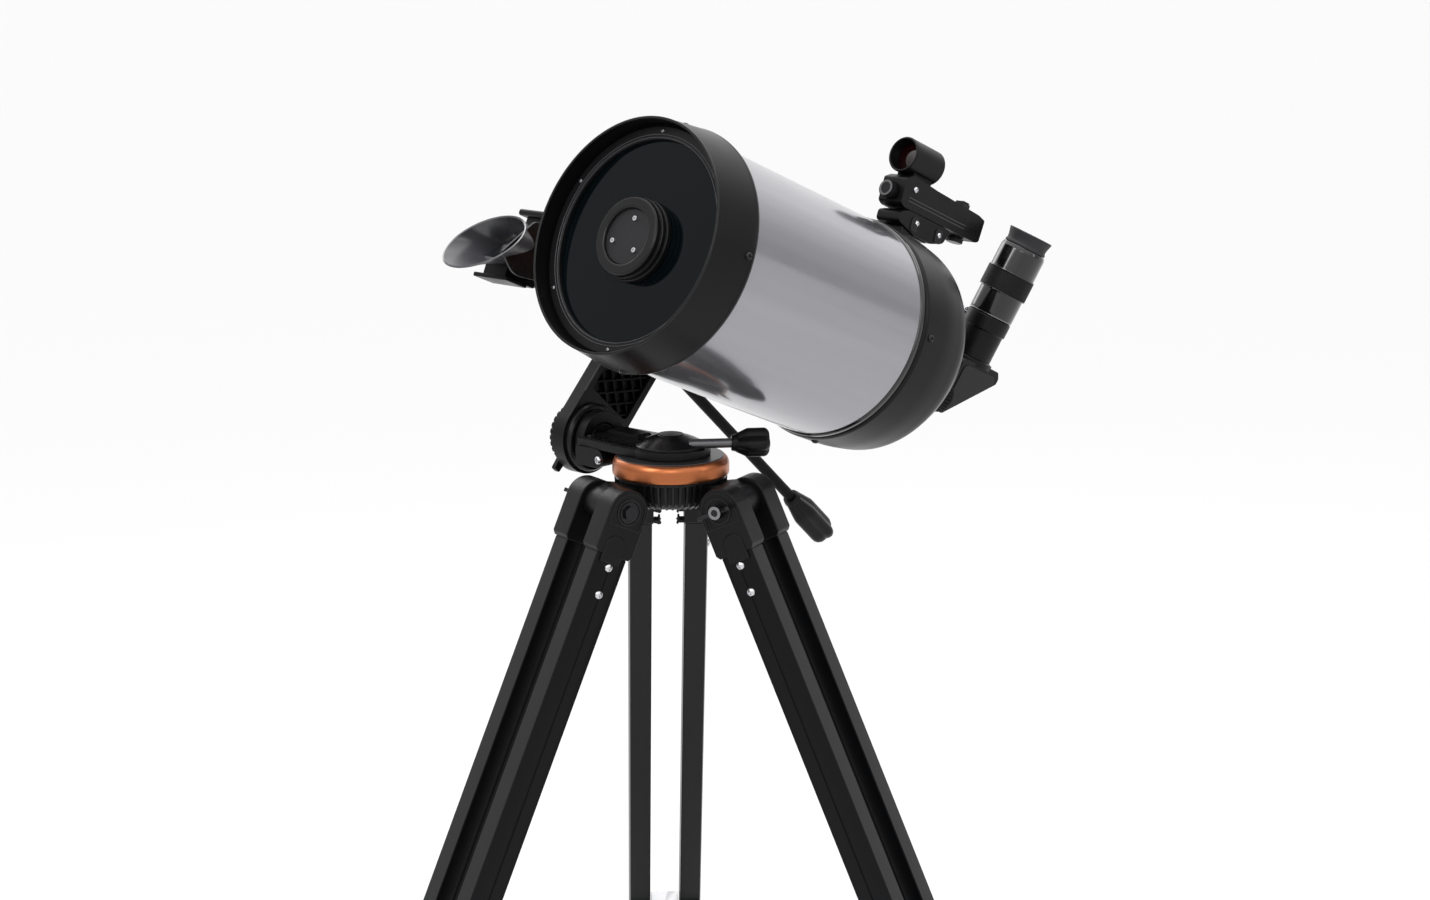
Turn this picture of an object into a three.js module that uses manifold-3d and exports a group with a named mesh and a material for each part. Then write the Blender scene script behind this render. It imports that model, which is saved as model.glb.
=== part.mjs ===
// Schmidt-Cassegrain telescope on a single-arm altazimuth mount and a folding tripod.
// Millimetres, +Z up. The tripod legs stand at 90, 210 and 330 degrees about the azimuth axis.
// Inside the groups below: the head group has its origin on the azimuth axis at the mount's
// reference height, the tube group has its origin on the optical axis at the rear edge of
// the front cell with +Y pointing back, and each leg group has its origin on the leg's bolt.
import * as THREE from 'three';
import { mergeVertices } from 'three/addons/utils/BufferGeometryUtils.js';
import Module from 'manifold-3d';

const wasm = await Module();
wasm.setup();

const GAP = 0.3; // clearance left between faces that touch
const LARGE = 40; // facets round the tube and its cells
const MEDIUM = 24;
const SMALL = 16;
const deg = THREE.MathUtils.degToRad;

// ---------- driving dimensions ----------
const APERTURE_R = 75;
const TUBE_R = 87;
const TUBE_WALL = 1.8;
const TUBE_LENGTH = 203.5;
const FRONT_CELL_LENGTH = 39.7;
const FRONT_CELL_R = 93;
const REAR_CELL_R = 89.6;
const REAR_FACE = 280; // distance of the rear cell's back face behind the front cell
const ALTITUDE_STATION = 144.5; // where the altitude axis crosses the optical axis

const AZIMUTH_REST = -47.3; // turn of the mount on the tripod
const ARM_LEAN = 42.4; // arm, back from the vertical
const ARM_LENGTH = 141;
const TUBE_ALTITUDE = 22.6;
const PIVOT_HEIGHT = 3.6;
const TUBE_OFFSET = 29.9; // optical axis, to the right of the azimuth axis
const ARM_INNER = -88; // arm faces, along the altitude axis
const ARM_OUTER = -100;

const COLLAR_R = 44;
const COLLAR_BOTTOM = -11.3;
const COLLAR_TOP = 3.2;
const YOKE_BOTTOM = 3.5;
const YOKE_TOP = 9.5;
const DOME_R = 24;

const WORM_OFFSET = 46.8; // altitude worm axis to altitude axis
const WHEEL_R = 41.4;

const LEG_COUNT = 3;
const LEG_SPLAY = 24.3;
const LEG_PIVOT_R = 56.4;
const LEG_PIVOT_Z = -28.5;
const RAIL_INNER = 12.7;
const RAIL_OUTER = 30.8;
const RAIL_DEPTH = 26;
const LEG_LENGTH = 880; // bolt to ground, along the leg, with the lower leg half drawn out
const RAIL_END = 620;
const LOWER_TOP = 465; // top of the lower leg inside the rails
const BRACE_DROP = 465;
const BRACE_IN = 30;
const BRACE_LENGTH = 258.4;
const BRACE_SLOPE = 42;
const BRACE_HUB_R = 26;
const BRACE_HUB_Z = -640.93;

// ---------- materials ----------
const material = (color, roughness, metalness) =>
  new THREE.MeshStandardMaterial({ color, roughness, metalness });
const BLACK = { casting: [0x1c1c1e, 0.6, 0.1], plastic: [0x19191b, 0.5, 0], rubber: [0x151516, 0.9, 0] };
const METAL = { silver: [0xb9babf, 0.35, 0.8], grey: [0x7d7e82, 0.4, 0.7], copper: [0xc9824f, 0.3, 0.9] };
const GLASS = [0x0c1418, 0.05, 0];

// ---------- helpers ----------
const model = new THREE.Group();

function group(parent, position = [0, 0, 0], rotation = {}) {
  const made = new THREE.Group();
  made.position.set(...position);
  made.rotation.set(deg(rotation.x ?? 0), deg(rotation.y ?? 0), deg(rotation.z ?? 0), 'ZYX');
  parent.add(made);
  return made;
}

function part(parent, name, geometry, look) {
  const mesh = new THREE.Mesh(geometry, material(...look));
  mesh.name = name;
  parent.add(mesh);
  return mesh;
}

// A turned body. The profile lists [radius, height] points round a closed section.
function turned(profile, segments = MEDIUM) {
  let area = 0;
  profile.forEach(([r, h], i) => {
    const [r2, h2] = profile[(i + 1) % profile.length];
    area += r * h2 - r2 * h;
  });
  const loop = area > 0 ? [...profile] : [...profile].reverse();
  const onAxis = loop.filter(([r]) => r === 0).length;
  if (onAxis === 0) {
    loop.push(loop[0]);
  } else {
    while (!(loop[0][0] === 0 && loop[loop.length - 1][0] === 0)) {
      loop.push(loop.shift());
    }
  }
  return new THREE.LatheGeometry(loop.map(([r, h]) => new THREE.Vector2(r, h)), segments);
}
const turnedY = (profile, segments) => turned(profile, segments);
const turnedZ = (profile, segments) => turned(profile, segments).rotateX(Math.PI / 2);
const turnedX = (profile, segments) => turned(profile, segments).rotateZ(-Math.PI / 2);
const rodX = (r, x0, x1, y = 0, z = 0, n = SMALL) => turnedX(disc(r, x0, x1), n).translate(0, y, z);
const rodY = (r, y0, y1, x = 0, z = 0, n = SMALL) => turnedY(disc(r, y0, y1), n).translate(x, 0, z);
const rodZ = (r, z0, z1, x = 0, y = 0, n = SMALL) => turnedZ(disc(r, z0, z1), n).translate(x, y, 0);
const disc = (r, h0, h1) => [[0, h0], [r, h0], [r, h1], [0, h1]];
const ring = (inner, outer, h0, h1) => [[inner, h0], [outer, h0], [outer, h1], [inner, h1]];

function box(x0, x1, y0, y1, z0, z1) {
  const made = new THREE.BoxGeometry(x1 - x0, y1 - y0, z1 - z0);
  return made.translate((x0 + x1) / 2, (y0 + y1) / 2, (z0 + z1) / 2);
}

function roundedRect(x0, x1, y0, y1, r) {
  const s = new THREE.Shape();
  s.moveTo(x0 + r, y0);
  s.lineTo(x1 - r, y0);
  s.absarc(x1 - r, y0 + r, r, -Math.PI / 2, 0);
  s.lineTo(x1, y1 - r);
  s.absarc(x1 - r, y1 - r, r, 0, Math.PI / 2);
  s.lineTo(x0 + r, y1);
  s.absarc(x0 + r, y1 - r, r, Math.PI / 2, Math.PI);
  s.lineTo(x0, y0 + r);
  s.absarc(x0 + r, y0 + r, r, Math.PI, Math.PI * 1.5);
  return s;
}

function polygon(points) {
  return new THREE.Shape(points.map(([x, y]) => new THREE.Vector2(x, y)));
}

// Extrusions of a drawn outline: along Z, along Y (outline in X, Z) and along X (outline in Y, Z).
function alongZ(shape, z0, z1, curveSegments = 6) {
  const options = { depth: z1 - z0, bevelEnabled: false, curveSegments };
  return new THREE.ExtrudeGeometry(shape, options).translate(0, 0, z0);
}
function alongY(shape, y0, y1, curveSegments) {
  return alongZ(shape, -y1, -y0, curveSegments).rotateX(Math.PI / 2);
}
function alongX(shape, x0, x1, curveSegments) {
  return alongZ(shape, x0, x1, curveSegments).rotateX(Math.PI / 2).rotateZ(Math.PI / 2);
}

function toSolid(geometry) {
  const bare = geometry.clone();
  bare.deleteAttribute('normal');
  bare.deleteAttribute('uv');
  const merged = mergeVertices(bare, 1e-4);
  const index = merged.index.array;
  const kept = [];
  for (let i = 0; i < index.length; i += 3) {
    const [a, b, c] = [index[i], index[i + 1], index[i + 2]];
    if (a !== b && b !== c && c !== a) kept.push(a, b, c);
  }
  const vertProperties = new Float32Array(merged.attributes.position.array);
  const triVerts = new Uint32Array(kept);
  return new wasm.Manifold(new wasm.Mesh({ numProp: 3, vertProperties, triVerts }));
}

function fromSolid(solid) {
  const mesh = solid.getMesh();
  const geometry = new THREE.BufferGeometry();
  geometry.setAttribute('position', new THREE.BufferAttribute(mesh.vertProperties, 3));
  geometry.setIndex(new THREE.BufferAttribute(mesh.triVerts, 1));
  geometry.computeVertexNormals();
  return geometry;
}

function combine(added, removed = []) {
  let solid = toSolid(added[0]);
  for (const piece of added.slice(1)) solid = solid.add(toSolid(piece));
  for (const piece of removed) solid = solid.subtract(toSolid(piece));
  return fromSolid(solid);
}

// A knob outline with lobes: radius r, wave depth d.
function lobedShape(r, d, lobes, steps = 6) {
  const points = [];
  for (let i = 0; i < lobes * steps; i += 1) {
    const angle = (i / (lobes * steps)) * Math.PI * 2;
    const radius = r - d / 2 + (d / 2) * Math.cos(lobes * angle);
    points.push([radius * Math.cos(angle), radius * Math.sin(angle)]);
  }
  return polygon(points);
}

// ---------- tripod head ----------
const head = group(model);

function tripodHead() {
  const bodies = [turnedZ([[0, -33], [30, -33], [39, -27], [39, COLLAR_BOTTOM - GAP],
    [0, COLLAR_BOTTOM - GAP]]), rodZ(9, -20, 16)];
  const holes = [turnedZ(disc(24, -40, -26), SMALL)];
  for (let i = 0; i < LEG_COUNT; i += 1) {
    const turn = deg(90 + i * 120);
    const lug = new THREE.Shape();
    lug.moveTo(20, -20);
    lug.lineTo(LEG_PIVOT_R - 4, -13);
    lug.absarc(LEG_PIVOT_R, LEG_PIVOT_Z, 13, Math.PI / 2, -Math.PI / 2, true);
    lug.lineTo(30, -37);
    bodies.push(alongY(lug, -RAIL_INNER + 1.2, RAIL_INNER - 1.2, 8).rotateZ(turn));
    holes.push(rodY(4.4, -20, 20, LEG_PIVOT_R, LEG_PIVOT_Z, 12).rotateZ(turn));
  }
  part(head, 'tripod_hub', combine(bodies, holes), BLACK.casting);
  part(head, 'collar', turnedZ([[9.4, COLLAR_BOTTOM], [COLLAR_R, COLLAR_BOTTOM],
    [COLLAR_R, -1], [COLLAR_R - 3, COLLAR_TOP - 0.4], [COLLAR_R - 4, COLLAR_TOP],
    [9.4, COLLAR_TOP]], 36), METAL.copper);
}
tripodHead();

// ---------- azimuth yoke ----------
const mount = group(head, [0, 0, 0], { z: AZIMUTH_REST });
const AZIMUTH_ROD = { height: 13.6, offset: 15.2, heading: 50.8 };

function azimuthYoke() {
  const plate = new THREE.Shape();
  plate.moveTo(-74, -27);
  plate.lineTo(-20, -30);
  plate.absarc(0, 0, 30, deg(-110), deg(110));
  plate.lineTo(-20, 28);
  plate.lineTo(-74, 25);
  const cheek = turnedX(disc(22, -82, -73)).translate(0, 0, PIVOT_HEIGHT);
  const housing = box(-62, -27, -7, 8, YOKE_TOP - 1, 14);
  const block = box(-73.5, -45, -28, -15, -14, YOKE_BOTTOM + 1);
  const bore = rodZ(9.4, 0, 30);
  const pin = rodX(6.4, -90, -72, 0, PIVOT_HEIGHT);
  const headSeat = rodX(13.3, -77.3, -72.9, 0, PIVOT_HEIGHT);
  const relief = box(-70, -46, -10, 10, YOKE_BOTTOM - 12, YOKE_BOTTOM - GAP);
  const legRoom = box(-90, -40, -40, 40, -30, -10.8);
  const body = combine([alongZ(plate, YOKE_BOTTOM, YOKE_TOP, 10), cheek, housing, block],
    [bore, pin, headSeat, relief, legRoom]);
  part(mount, 'azimuth_yoke', body, BLACK.casting);

  const lid = YOKE_TOP + GAP;
  const shell = [[9.6, lid], [DOME_R, lid], [DOME_R - 0.6, lid + 2], [16, 16.2], [6, 19], [0, 19],
    [0, 17], [9.6, 16.4]];
  const rodHole = rodY(4.6, 8, 60, AZIMUTH_ROD.offset, 0, 12);
  rodHole.rotateZ(deg(AZIMUTH_ROD.heading - 90)).translate(0, 0, AZIMUTH_ROD.height);
  part(mount, 'azimuth_dome', combine([turnedZ(shell)], [rodHole]), BLACK.casting);
}
azimuthYoke();

// A slow-motion control: worm shaft end, long rod and lobed grip, along +Y of its group.
function control(parent, name, start, rodEnd, gripLength, rodR, gripR) {
  const grip = alongY(lobedShape(gripR, 3.2, 4, 6), rodEnd, rodEnd + gripLength);
  const body = combine([rodY(rodR, start, rodEnd + 4), grip]);
  part(parent, name, body, BLACK.plastic);
}
const azimuthControl = group(mount, [0, 0, AZIMUTH_ROD.height], { z: AZIMUTH_ROD.heading - 90 });
control(group(azimuthControl, [AZIMUTH_ROD.offset, 0, 0]), 'azimuth_control', 12, 47, 26, 3.6, 11);

// ---------- arm ----------
// The arm group has +Z up the arm from its pivot and +Y towards the user.
const arm = group(mount, [0, 0, PIVOT_HEIGHT], { x: -ARM_LEAN });
const CASE_R = 52;
const ARM_HALF = 28.8;
const WORM_T = ARM_LENGTH - WORM_OFFSET;

function mountArm() {
  const outline = new THREE.Shape();
  outline.moveTo(-ARM_HALF, 0);
  outline.absarc(0, 0, ARM_HALF, Math.PI, Math.PI * 2);
  outline.lineTo(ARM_HALF, 95);
  outline.absarc(0, ARM_LENGTH, CASE_R, deg(-50), deg(230));
  outline.lineTo(-ARM_HALF, 95);
  const body = alongX(outline, ARM_OUTER - 6, ARM_INNER, 10);
  const boss = rodX(26, ARM_INNER - 2, ARM_INNER + 5.4, 0, 0, MEDIUM);
  const pocketShape = roundedRect(-23, 23, 30, 76, 4);
  const pocket = alongX(pocketShape, ARM_INNER - 6, ARM_INNER + 2, 3);
  const ribs = [];
  for (let i = 0; i < 4; i += 1) {
    const rib = box(ARM_INNER - 8, ARM_INNER - 0.8, -34, 34, -1.2, 1.2);
    ribs.push(rib.rotateX(deg(38)).translate(0, 0, 36 + i * 12));
  }
  const back = alongX(roundedRect(-60, 60, -40, 72, 2), ARM_OUTER - 8, ARM_OUTER, 3);
  const wheelCase = rodX(CASE_R - 5, ARM_OUTER - 8, ARM_INNER - 5, 0, ARM_LENGTH, MEDIUM);
  const wormCase = rodY(7, -24, 60, ARM_OUTER + 3.5, WORM_T);
  const pin = rodX(6.4, -120, -70);
  const shaft = rodX(10.4, -120, -70, 0, ARM_LENGTH);
  let solid = toSolid(body).add(toSolid(boss)).subtract(toSolid(pocket));
  for (const rib of ribs) {
    const inside = toSolid(rib).intersect(toSolid(alongX(pocketShape, ARM_INNER - 8, ARM_INNER, 3)));
    solid = solid.add(inside);
  }
  for (const tool of [back, wheelCase, wormCase, pin, shaft]) solid = solid.subtract(toSolid(tool));
  part(arm, 'mount_arm', fromSolid(solid), BLACK.casting);

  const cover = alongX(new THREE.Shape().absarc(0, ARM_LENGTH, CASE_R, 0, Math.PI * 2), -109, -106.3, 10);
  part(arm, 'gear_cover', combine([cover], [shaft]), BLACK.plastic);
  part(arm, 'pivot_bolt', turnedX([[0, -105], [6, -105], [6, -77], [13, -77], [13, -73.3],
    [0, -73.3]], SMALL), BLACK.casting);
}
mountArm();
const altitudeControl = group(arm, [ARM_OUTER + 3.5, 0, WORM_T]);
control(altitudeControl, 'altitude_control', -22, 238, 52, 4.4, 12);

function armKnob() {
  const knob = alongX(lobedShape(23.6, 2.2, 12, 4), -109.5, -100.4);
  const lever = box(-106, -102, -4, 4, -34, -20);
  part(arm, 'arm_pivot_knob', combine([knob, lever], [rodX(6.4, -107, -99)]), BLACK.plastic);
}
armKnob();

// ---------- optical tube ----------
const tubeY = -ALTITUDE_STATION;
const altitude = group(mount, [0, ARM_LENGTH * Math.sin(deg(ARM_LEAN)),
  PIVOT_HEIGHT + ARM_LENGTH * Math.cos(deg(ARM_LEAN))], { x: -TUBE_ALTITUDE });
const tube = group(altitude, [TUBE_OFFSET, tubeY, 0]);
const acrossTube = (x) => x - TUBE_OFFSET; // from a distance along the altitude axis

function altitudeDrive() {
  const profile = [[0, acrossTube(-86)], [0, acrossTube(-112.5)], [10, acrossTube(-112.5)],
    [10, acrossTube(-104)], [WHEEL_R, acrossTube(-104)], [WHEEL_R, acrossTube(-95)],
    [10, acrossTube(-95)], [10, acrossTube(-86)]];
  part(tube, 'altitude_wheel', turnedX(profile, 28).translate(0, ALTITUDE_STATION, 0), METAL.grey);
}
altitudeDrive();

function saddle() {
  const floor = acrossTube(-85.7);
  const top = acrossTube(-66);
  const face = acrossTube(-72);
  const half = 29;
  const outline = polygon([[floor, -half], [floor, half], [top, half], [top, 20.2],
    [face - 1, 23.4], [face - 1, -23.4], [top, -20.2], [top, -half]]);
  const channel = alongY(outline, ALTITUDE_STATION - 40, ALTITUDE_STATION + 40);
  const hole = rodZ(3.4, 15, 40, (face + top) / 2 - 5, ALTITUDE_STATION, 12);
  part(tube, 'saddle', combine([channel], [hole]), BLACK.casting);
  const knob = alongZ(lobedShape(13, 2.4, 6, 4), 33, 47).translate(0, 0, 0);
  const screw = combine([knob, rodZ(3, 24.5, 36, 0, 0, 12)]);
  screw.translate((face + top) / 2 - 5, ALTITUDE_STATION, 0);
  part(tube, 'saddle_knob', screw, BLACK.plastic);

  const bar = polygon([[face - 0.7, -22], [face + 10, -17.5], [face + 10, 17.5], [face - 0.7, 22]]);
  const pads = [8, TUBE_LENGTH - 40].map((s) => box(face + 8, -80, s, s + 30, -16, 16));
  const clear = turnedY(disc(TUBE_R + GAP, -20, 300), LARGE);
  part(tube, 'dovetail_bar', combine([alongY(bar, 4, TUBE_LENGTH - 4), ...pads], [clear]), METAL.copper);
}
saddle();

function opticalTube() {
  const edge = -FRONT_CELL_LENGTH;
  const seat = -18.3;
  part(tube, 'front_cell', turnedY([[86.4, edge], [88.6, edge], [FRONT_CELL_R - 0.3, -3],
    [FRONT_CELL_R, -1.5], [92.2, 0], [84.8, 0], [84.8, 10], [82, 10], [77, -12], [77, seat],
    [86.4, seat]], LARGE), BLACK.plastic);
  part(tube, 'corrector_ring', turnedY(ring(APERTURE_R + 0.4, 86, -27, -23), LARGE), BLACK.plastic);
  part(tube, 'corrector_plate', turnedY(ring(24, 84, -22.7, seat - GAP), LARGE), GLASS);
  part(tube, 'secondary_cell', turnedY([[0, -34], [21, -34], [22.5, -37.5], [28.5, -37.5],
    [29.5, -36.5], [31, -23], [23.6, -23], [23.6, seat], [30, seat], [28, -4], [0, -4]]),
  BLACK.plastic);
  part(tube, 'main_tube', turnedY(ring(TUBE_R - TUBE_WALL, TUBE_R, GAP, TUBE_LENGTH - GAP), LARGE),
    METAL.silver);

  const rear = turnedY([[84.8, 193], [84.8, TUBE_LENGTH], [88.8, TUBE_LENGTH],
    [REAR_CELL_R, 206], [88.8, 236], [86, 256], [84, 262], [71, REAR_FACE],
    [30, REAR_FACE], [30, 288], [19, 288], [19, 272], [68, 272], [80, 258],
    [80, 193]], LARGE);
  const focusHole = rodY(4.5, 260, 290, 40, -24, 14);
  part(tube, 'rear_cell', combine([rear], [focusHole]), BLACK.plastic);
  part(tube, 'baffle_tube', turnedY(ring(16.8, 18.6, 96, 287.7)), BLACK.plastic);
  part(tube, 'primary_mirror', turnedY([[19.2, 216], [24, 214], [APERTURE_R + 1, 221],
    [APERTURE_R + 1, 234], [19.2, 234]]), METAL.silver);
  const focus = combine([alongY(lobedShape(14, 0.9, 14, 2), REAR_FACE + 1, 304),
    rodY(4, 246, 284, 0, 0, 14)]);
  part(tube, 'focus_knob', focus.translate(40, 0, -24), BLACK.rubber);
  part(tube, 'visual_back', turnedY([[16.2, 288.3], [25, 288.3], [26, 290], [26, 300], [21, 303],
    [21, 321], [16.2, 321]], 20), BLACK.casting);
}
opticalTube();

// ---------- diagonal and eyepiece ----------
const EYEPIECE_STATION = 368.6;
const DIAGONAL_TURN = 15.5;
const diagonal = group(tube, [0, EYEPIECE_STATION, 0], { y: DIAGONAL_TURN });

function eyepieceEnd() {
  const nose = rodY(15.9, 296 - EYEPIECE_STATION, -18, 0, 0, 20);
  const shoulder = rodY(19, 321.4 - EYEPIECE_STATION, -20, 0, 0, 20);
  const prism = alongX(polygon([[-26, -24], [-24, -28], [-20, -28], [26, 11], [26, 16], [22, 21],
    [-22, 21], [-26, 18]]), -18, 18);
  const upright = turnedZ([[0, 18], [17.2, 18], [17.2, 49], [18.8, 49], [18.8, 59.7], [0, 59.7]], 20);
  const bore = rodZ(16.2, 27, 70, 0, 0, 20);
  const screwHole = rodX(2.4, -30, -10, 0, 54, 10);
  part(diagonal, 'diagonal_body', combine([nose, shoulder, prism, upright], [bore, screwHole]),
    BLACK.plastic);
  const screw = combine([rodX(2, -26, -16.6, 0, 0, 10), rodX(4.2, -31, -24, 0, 0, 12)]);
  part(diagonal, 'eyepiece_screw', screw.translate(0, 0, 54), METAL.silver);
  part(diagonal, 'eyepiece_body', turnedZ([[0, 30], [15.9, 30], [15.9, 60], [18.4, 60],
    [18.8, 62], [18.8, 82], [20.3, 82.5], [20.3, 97.5], [19.3, 98], [19.3, 119], [18, 121],
    [15.4, 121], [15.4, 125], [11, 125], [9, 121], [0, 121]], 20), BLACK.plastic);
  part(diagonal, 'eyecup', turnedZ([[15.7, 121.3], [17.4, 121.3], [17, 126], [18.4, 133.5],
    [16.6, 133.5], [15.7, 127]], 20), BLACK.rubber);
}
eyepieceEnd();

// ---------- red-dot finder ----------
function finder() {
  const shoe = box(-10, 10, 240, 272, 84, 95);
  const lower = alongX(polygon([[231, 96], [254, 90.4], [276, 90.4], [291, 95], [295, 104],
    [295, 107.5], [240, 107.5], [231, 104]]), -12, 12);
  const dome = turnedY(disc(REAR_CELL_R + GAP, 190, 300), LARGE);
  part(tube, 'finder_bracket', combine([shoe, lower], [dome]), BLACK.plastic);

  const side = polygon([[228, 110.5], [233, 108], [330, 108], [334, 110], [335, 128], [326, 130],
    [276, 130], [270, 134], [240, 134], [228, 130]]);
  const cradle = rodY(14.7, 200, 300, 0, 149.3, MEDIUM);
  const slot = box(-5.3, 5.3, 306, 326, 127.6, 134);
  part(tube, 'finder_body', combine([alongX(side, -11.8, 11.8)], [cradle, slot]), BLACK.plastic);
  const barrel = turnedY(ring(12.6, 14.4, 229, 272));
  const lens = turnedY(disc(13, 238, 240.5));
  const lensBarrel = combine([barrel, lens]).translate(0, 0, 149.3);
  part(tube, 'finder_tube', lensBarrel, BLACK.plastic);
  part(tube, 'finder_switch', box(-4.5, 4.5, 311, 321, 128, 137.5), BLACK.plastic);
  part(tube, 'finder_altitude_knob', turnedY(disc(7.6, 219.5, 227.6), SMALL).translate(0, 0, 118.5),
    METAL.grey);
  part(tube, 'finder_azimuth_knob', turnedZ(disc(7, 103.4, 107.6), SMALL).translate(0, 318, 0),
    BLACK.plastic);
}
finder();

// ---------- phone dock ----------
const DOCK = { near: acrossTube(-122), far: acrossTube(-178), front: 44, back: 186, top: 12 };

// The mirror hood: a trough that narrows to its floor, cut obliquely at its mouth.
function hoodGeometry() {
  const steps = 14;
  const wall = 2;
  const centre = (DOCK.near + DOCK.far) / 2;
  const half = (DOCK.near - DOCK.far) / 2 - 2;
  const rows = [];
  for (let i = 0; i <= steps; i += 1) {
    const angle = (i / steps) * Math.PI;
    const level = Math.pow(Math.sin(angle), 0.7);
    for (const inset of [0, wall]) {
      const x = centre + (half - inset) * Math.cos(angle);
      const front = -46 + (1 - level) * 66;
      const drop = DOCK.top - 2;
      rows.push([x, front, drop - (50 - inset) * level], [x, 42, drop - (40 - inset) * level]);
    }
  }
  const position = [];
  const quad = (a, b, c, d) => position.push(...a, ...b, ...c, ...a, ...c, ...d);
  for (let i = 0; i < steps; i += 1) {
    const [of0, ob0, if0, ib0, of1, ob1, if1, ib1] = rows.slice(i * 4, i * 4 + 8);
    quad(of0, of1, ob1, ob0);
    quad(if0, ib0, ib1, if1);
    quad(of0, if0, if1, of1);
    quad(ob0, ob1, ib1, ib0);
  }
  const [of0, ob0, if0, ib0] = rows.slice(0, 4);
  quad(of0, ob0, ib0, if0);
  const [of1, ob1, if1, ib1] = rows.slice(steps * 4, steps * 4 + 4);
  quad(of1, if1, ib1, ob1);
  const geometry = new THREE.BufferGeometry();
  geometry.setAttribute('position', new THREE.Float32BufferAttribute(position, 3));
  return geometry;
}

function phoneDock() {
  const plate = polygon([[128, -16], [162, -16], [162, DOCK.top - 6.3],
    [60, DOCK.top - 6.3], [60, -6], [104, -10]]);
  const hub = rodX(16, acrossTube(-119), acrossTube(-112.8), ALTITUDE_STATION, 0);
  const web = alongX(plate, acrossTube(-128), acrossTube(-119.5 + 0.5));
  part(tube, 'dock_arm', combine([web, hub]), BLACK.plastic);
  const bed = roundedRect(DOCK.far, DOCK.near + 2, DOCK.front, DOCK.back, 8);
  const slot = box(DOCK.far + 20, DOCK.near - 20, 120, 170, 0, 30);
  const lip = box(DOCK.far, DOCK.far + 4, DOCK.front + 20, DOCK.back - 10, DOCK.top - 4, DOCK.top + 8);
  const plateBody = alongZ(bed, DOCK.top - 6, DOCK.top - 2, 4);
  const bar = rodX(5, DOCK.far + 2, DOCK.near - 2, 52, DOCK.top + 9, 16);
  const barWeb = box(DOCK.far + 8, DOCK.near - 8, 50, 54, DOCK.top - 3, DOCK.top + 8);
  part(tube, 'dock_platform', combine([plateBody, lip, bar, barWeb], [slot]), BLACK.plastic);
  const inner = [DOCK.far + 12, DOCK.near - 12];
  const mirror = box(inner[0], inner[1], -19, 19, -1.5, 1.5).rotateX(deg(42));
  part(tube, 'dock_mirror', mirror.translate(0, 24, -9), METAL.silver);
  part(tube, 'mirror_hood', hoodGeometry(), BLACK.plastic);
  const foot = box(DOCK.far + 21, DOCK.near - 21, 124, 146, DOCK.top - 14, DOCK.top - 1.7);
  const jaw = box(DOCK.far + 10, DOCK.near - 6, 136, 142, DOCK.top - 1.7, DOCK.top + 13);
  part(tube, 'phone_clamp', combine([foot, jaw]), BLACK.plastic);
  const knob = combine([alongZ(lobedShape(10, 1.6, 6, 4), -22, -12),
    rodZ(3, -14, DOCK.top - 6.4, 0, 0, 12)]);
  knob.translate((DOCK.near + DOCK.far) / 2, 86, 0);
  part(tube, 'dock_knob', knob, BLACK.plastic);
}
phoneDock();

// ---------- tripod legs ----------
function railCap(side) {
  const outline = new THREE.Shape();
  outline.moveTo(16.5, -34);
  outline.lineTo(16.5, 0);
  outline.absarc(0, 0, 16.5, 0, Math.PI);
  outline.lineTo(-16.5, -34);
  const [y0, y1] = side > 0 ? [RAIL_INNER - 0.9, 32.2] : [-32.2, -RAIL_INNER + 0.9];
  const body = alongY(outline, y0, y1, 10);
  const socket = side > 0 ? [RAIL_INNER - GAP, RAIL_OUTER + GAP] : [-RAIL_OUTER - GAP, -RAIL_INNER + GAP];
  const railEnd = box(-RAIL_DEPTH / 2 - GAP, RAIL_DEPTH / 2 + GAP, ...socket, -60, -20);
  if (side > 0) return combine([body, rodY(4, -25, 20, 0, 0, 12)], [railEnd]);
  return combine([body], [railEnd, rodY(4.4, -26, -5, 0, 0, 12)]);
}

function upperLeg() {
  const half = RAIL_DEPTH / 2;
  const rails = [[RAIL_INNER, RAIL_OUTER], [-RAIL_OUTER, -RAIL_INNER]].map(([y0, y1]) =>
    box(-half, half, y0, y1, -RAIL_END, -20 - GAP));
  const clamp = box(-half - 4, half + 4, -34, 34, -RAIL_END - 4, -RAIL_END + 56);
  const crossBar = box(-half - 8, -half + 1, -RAIL_OUTER, RAIL_OUTER, -BRACE_DROP - 9, -BRACE_DROP + 9);
  const ears = [-9, 9].map((y) => box(-BRACE_IN - 6, -half, y - 2.6, y + 2.6, -BRACE_DROP - 6,
    -BRACE_DROP + 6));
  const pin = rodY(3, -9, 9, -BRACE_IN, -BRACE_DROP, 12);
  const channel = box(-12.1, 12.1, -12.1, 12.1, -RAIL_END - 10, -RAIL_END + 70);
  const screwHole = rodX(4.3, 10, 30, 0, -RAIL_END + 26, 12);
  return combine([...rails, clamp, crossBar, ...ears, pin], [channel, screwHole]);
}

function lowerLeg() {
  const splay = deg(LEG_SPLAY);
  const shaft = box(-11.7, 11.7, -11.7, 11.7, -LEG_LENGTH + 22, -LOWER_TOP);
  const [sole, ankle] = [-LEG_LENGTH - 18, -LEG_LENGTH + 27];
  const boot = turnedZ([[0, sole], [15, sole], [17, -LEG_LENGTH], [16.6, ankle], [0, ankle]], SMALL);
  const ground = new THREE.BoxGeometry(200, 200, 100).translate(0, 0, -50);
  ground.rotateY(splay).translate(0, 0, -LEG_LENGTH);
  return combine([shaft, boot], [ground]);
}

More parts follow.
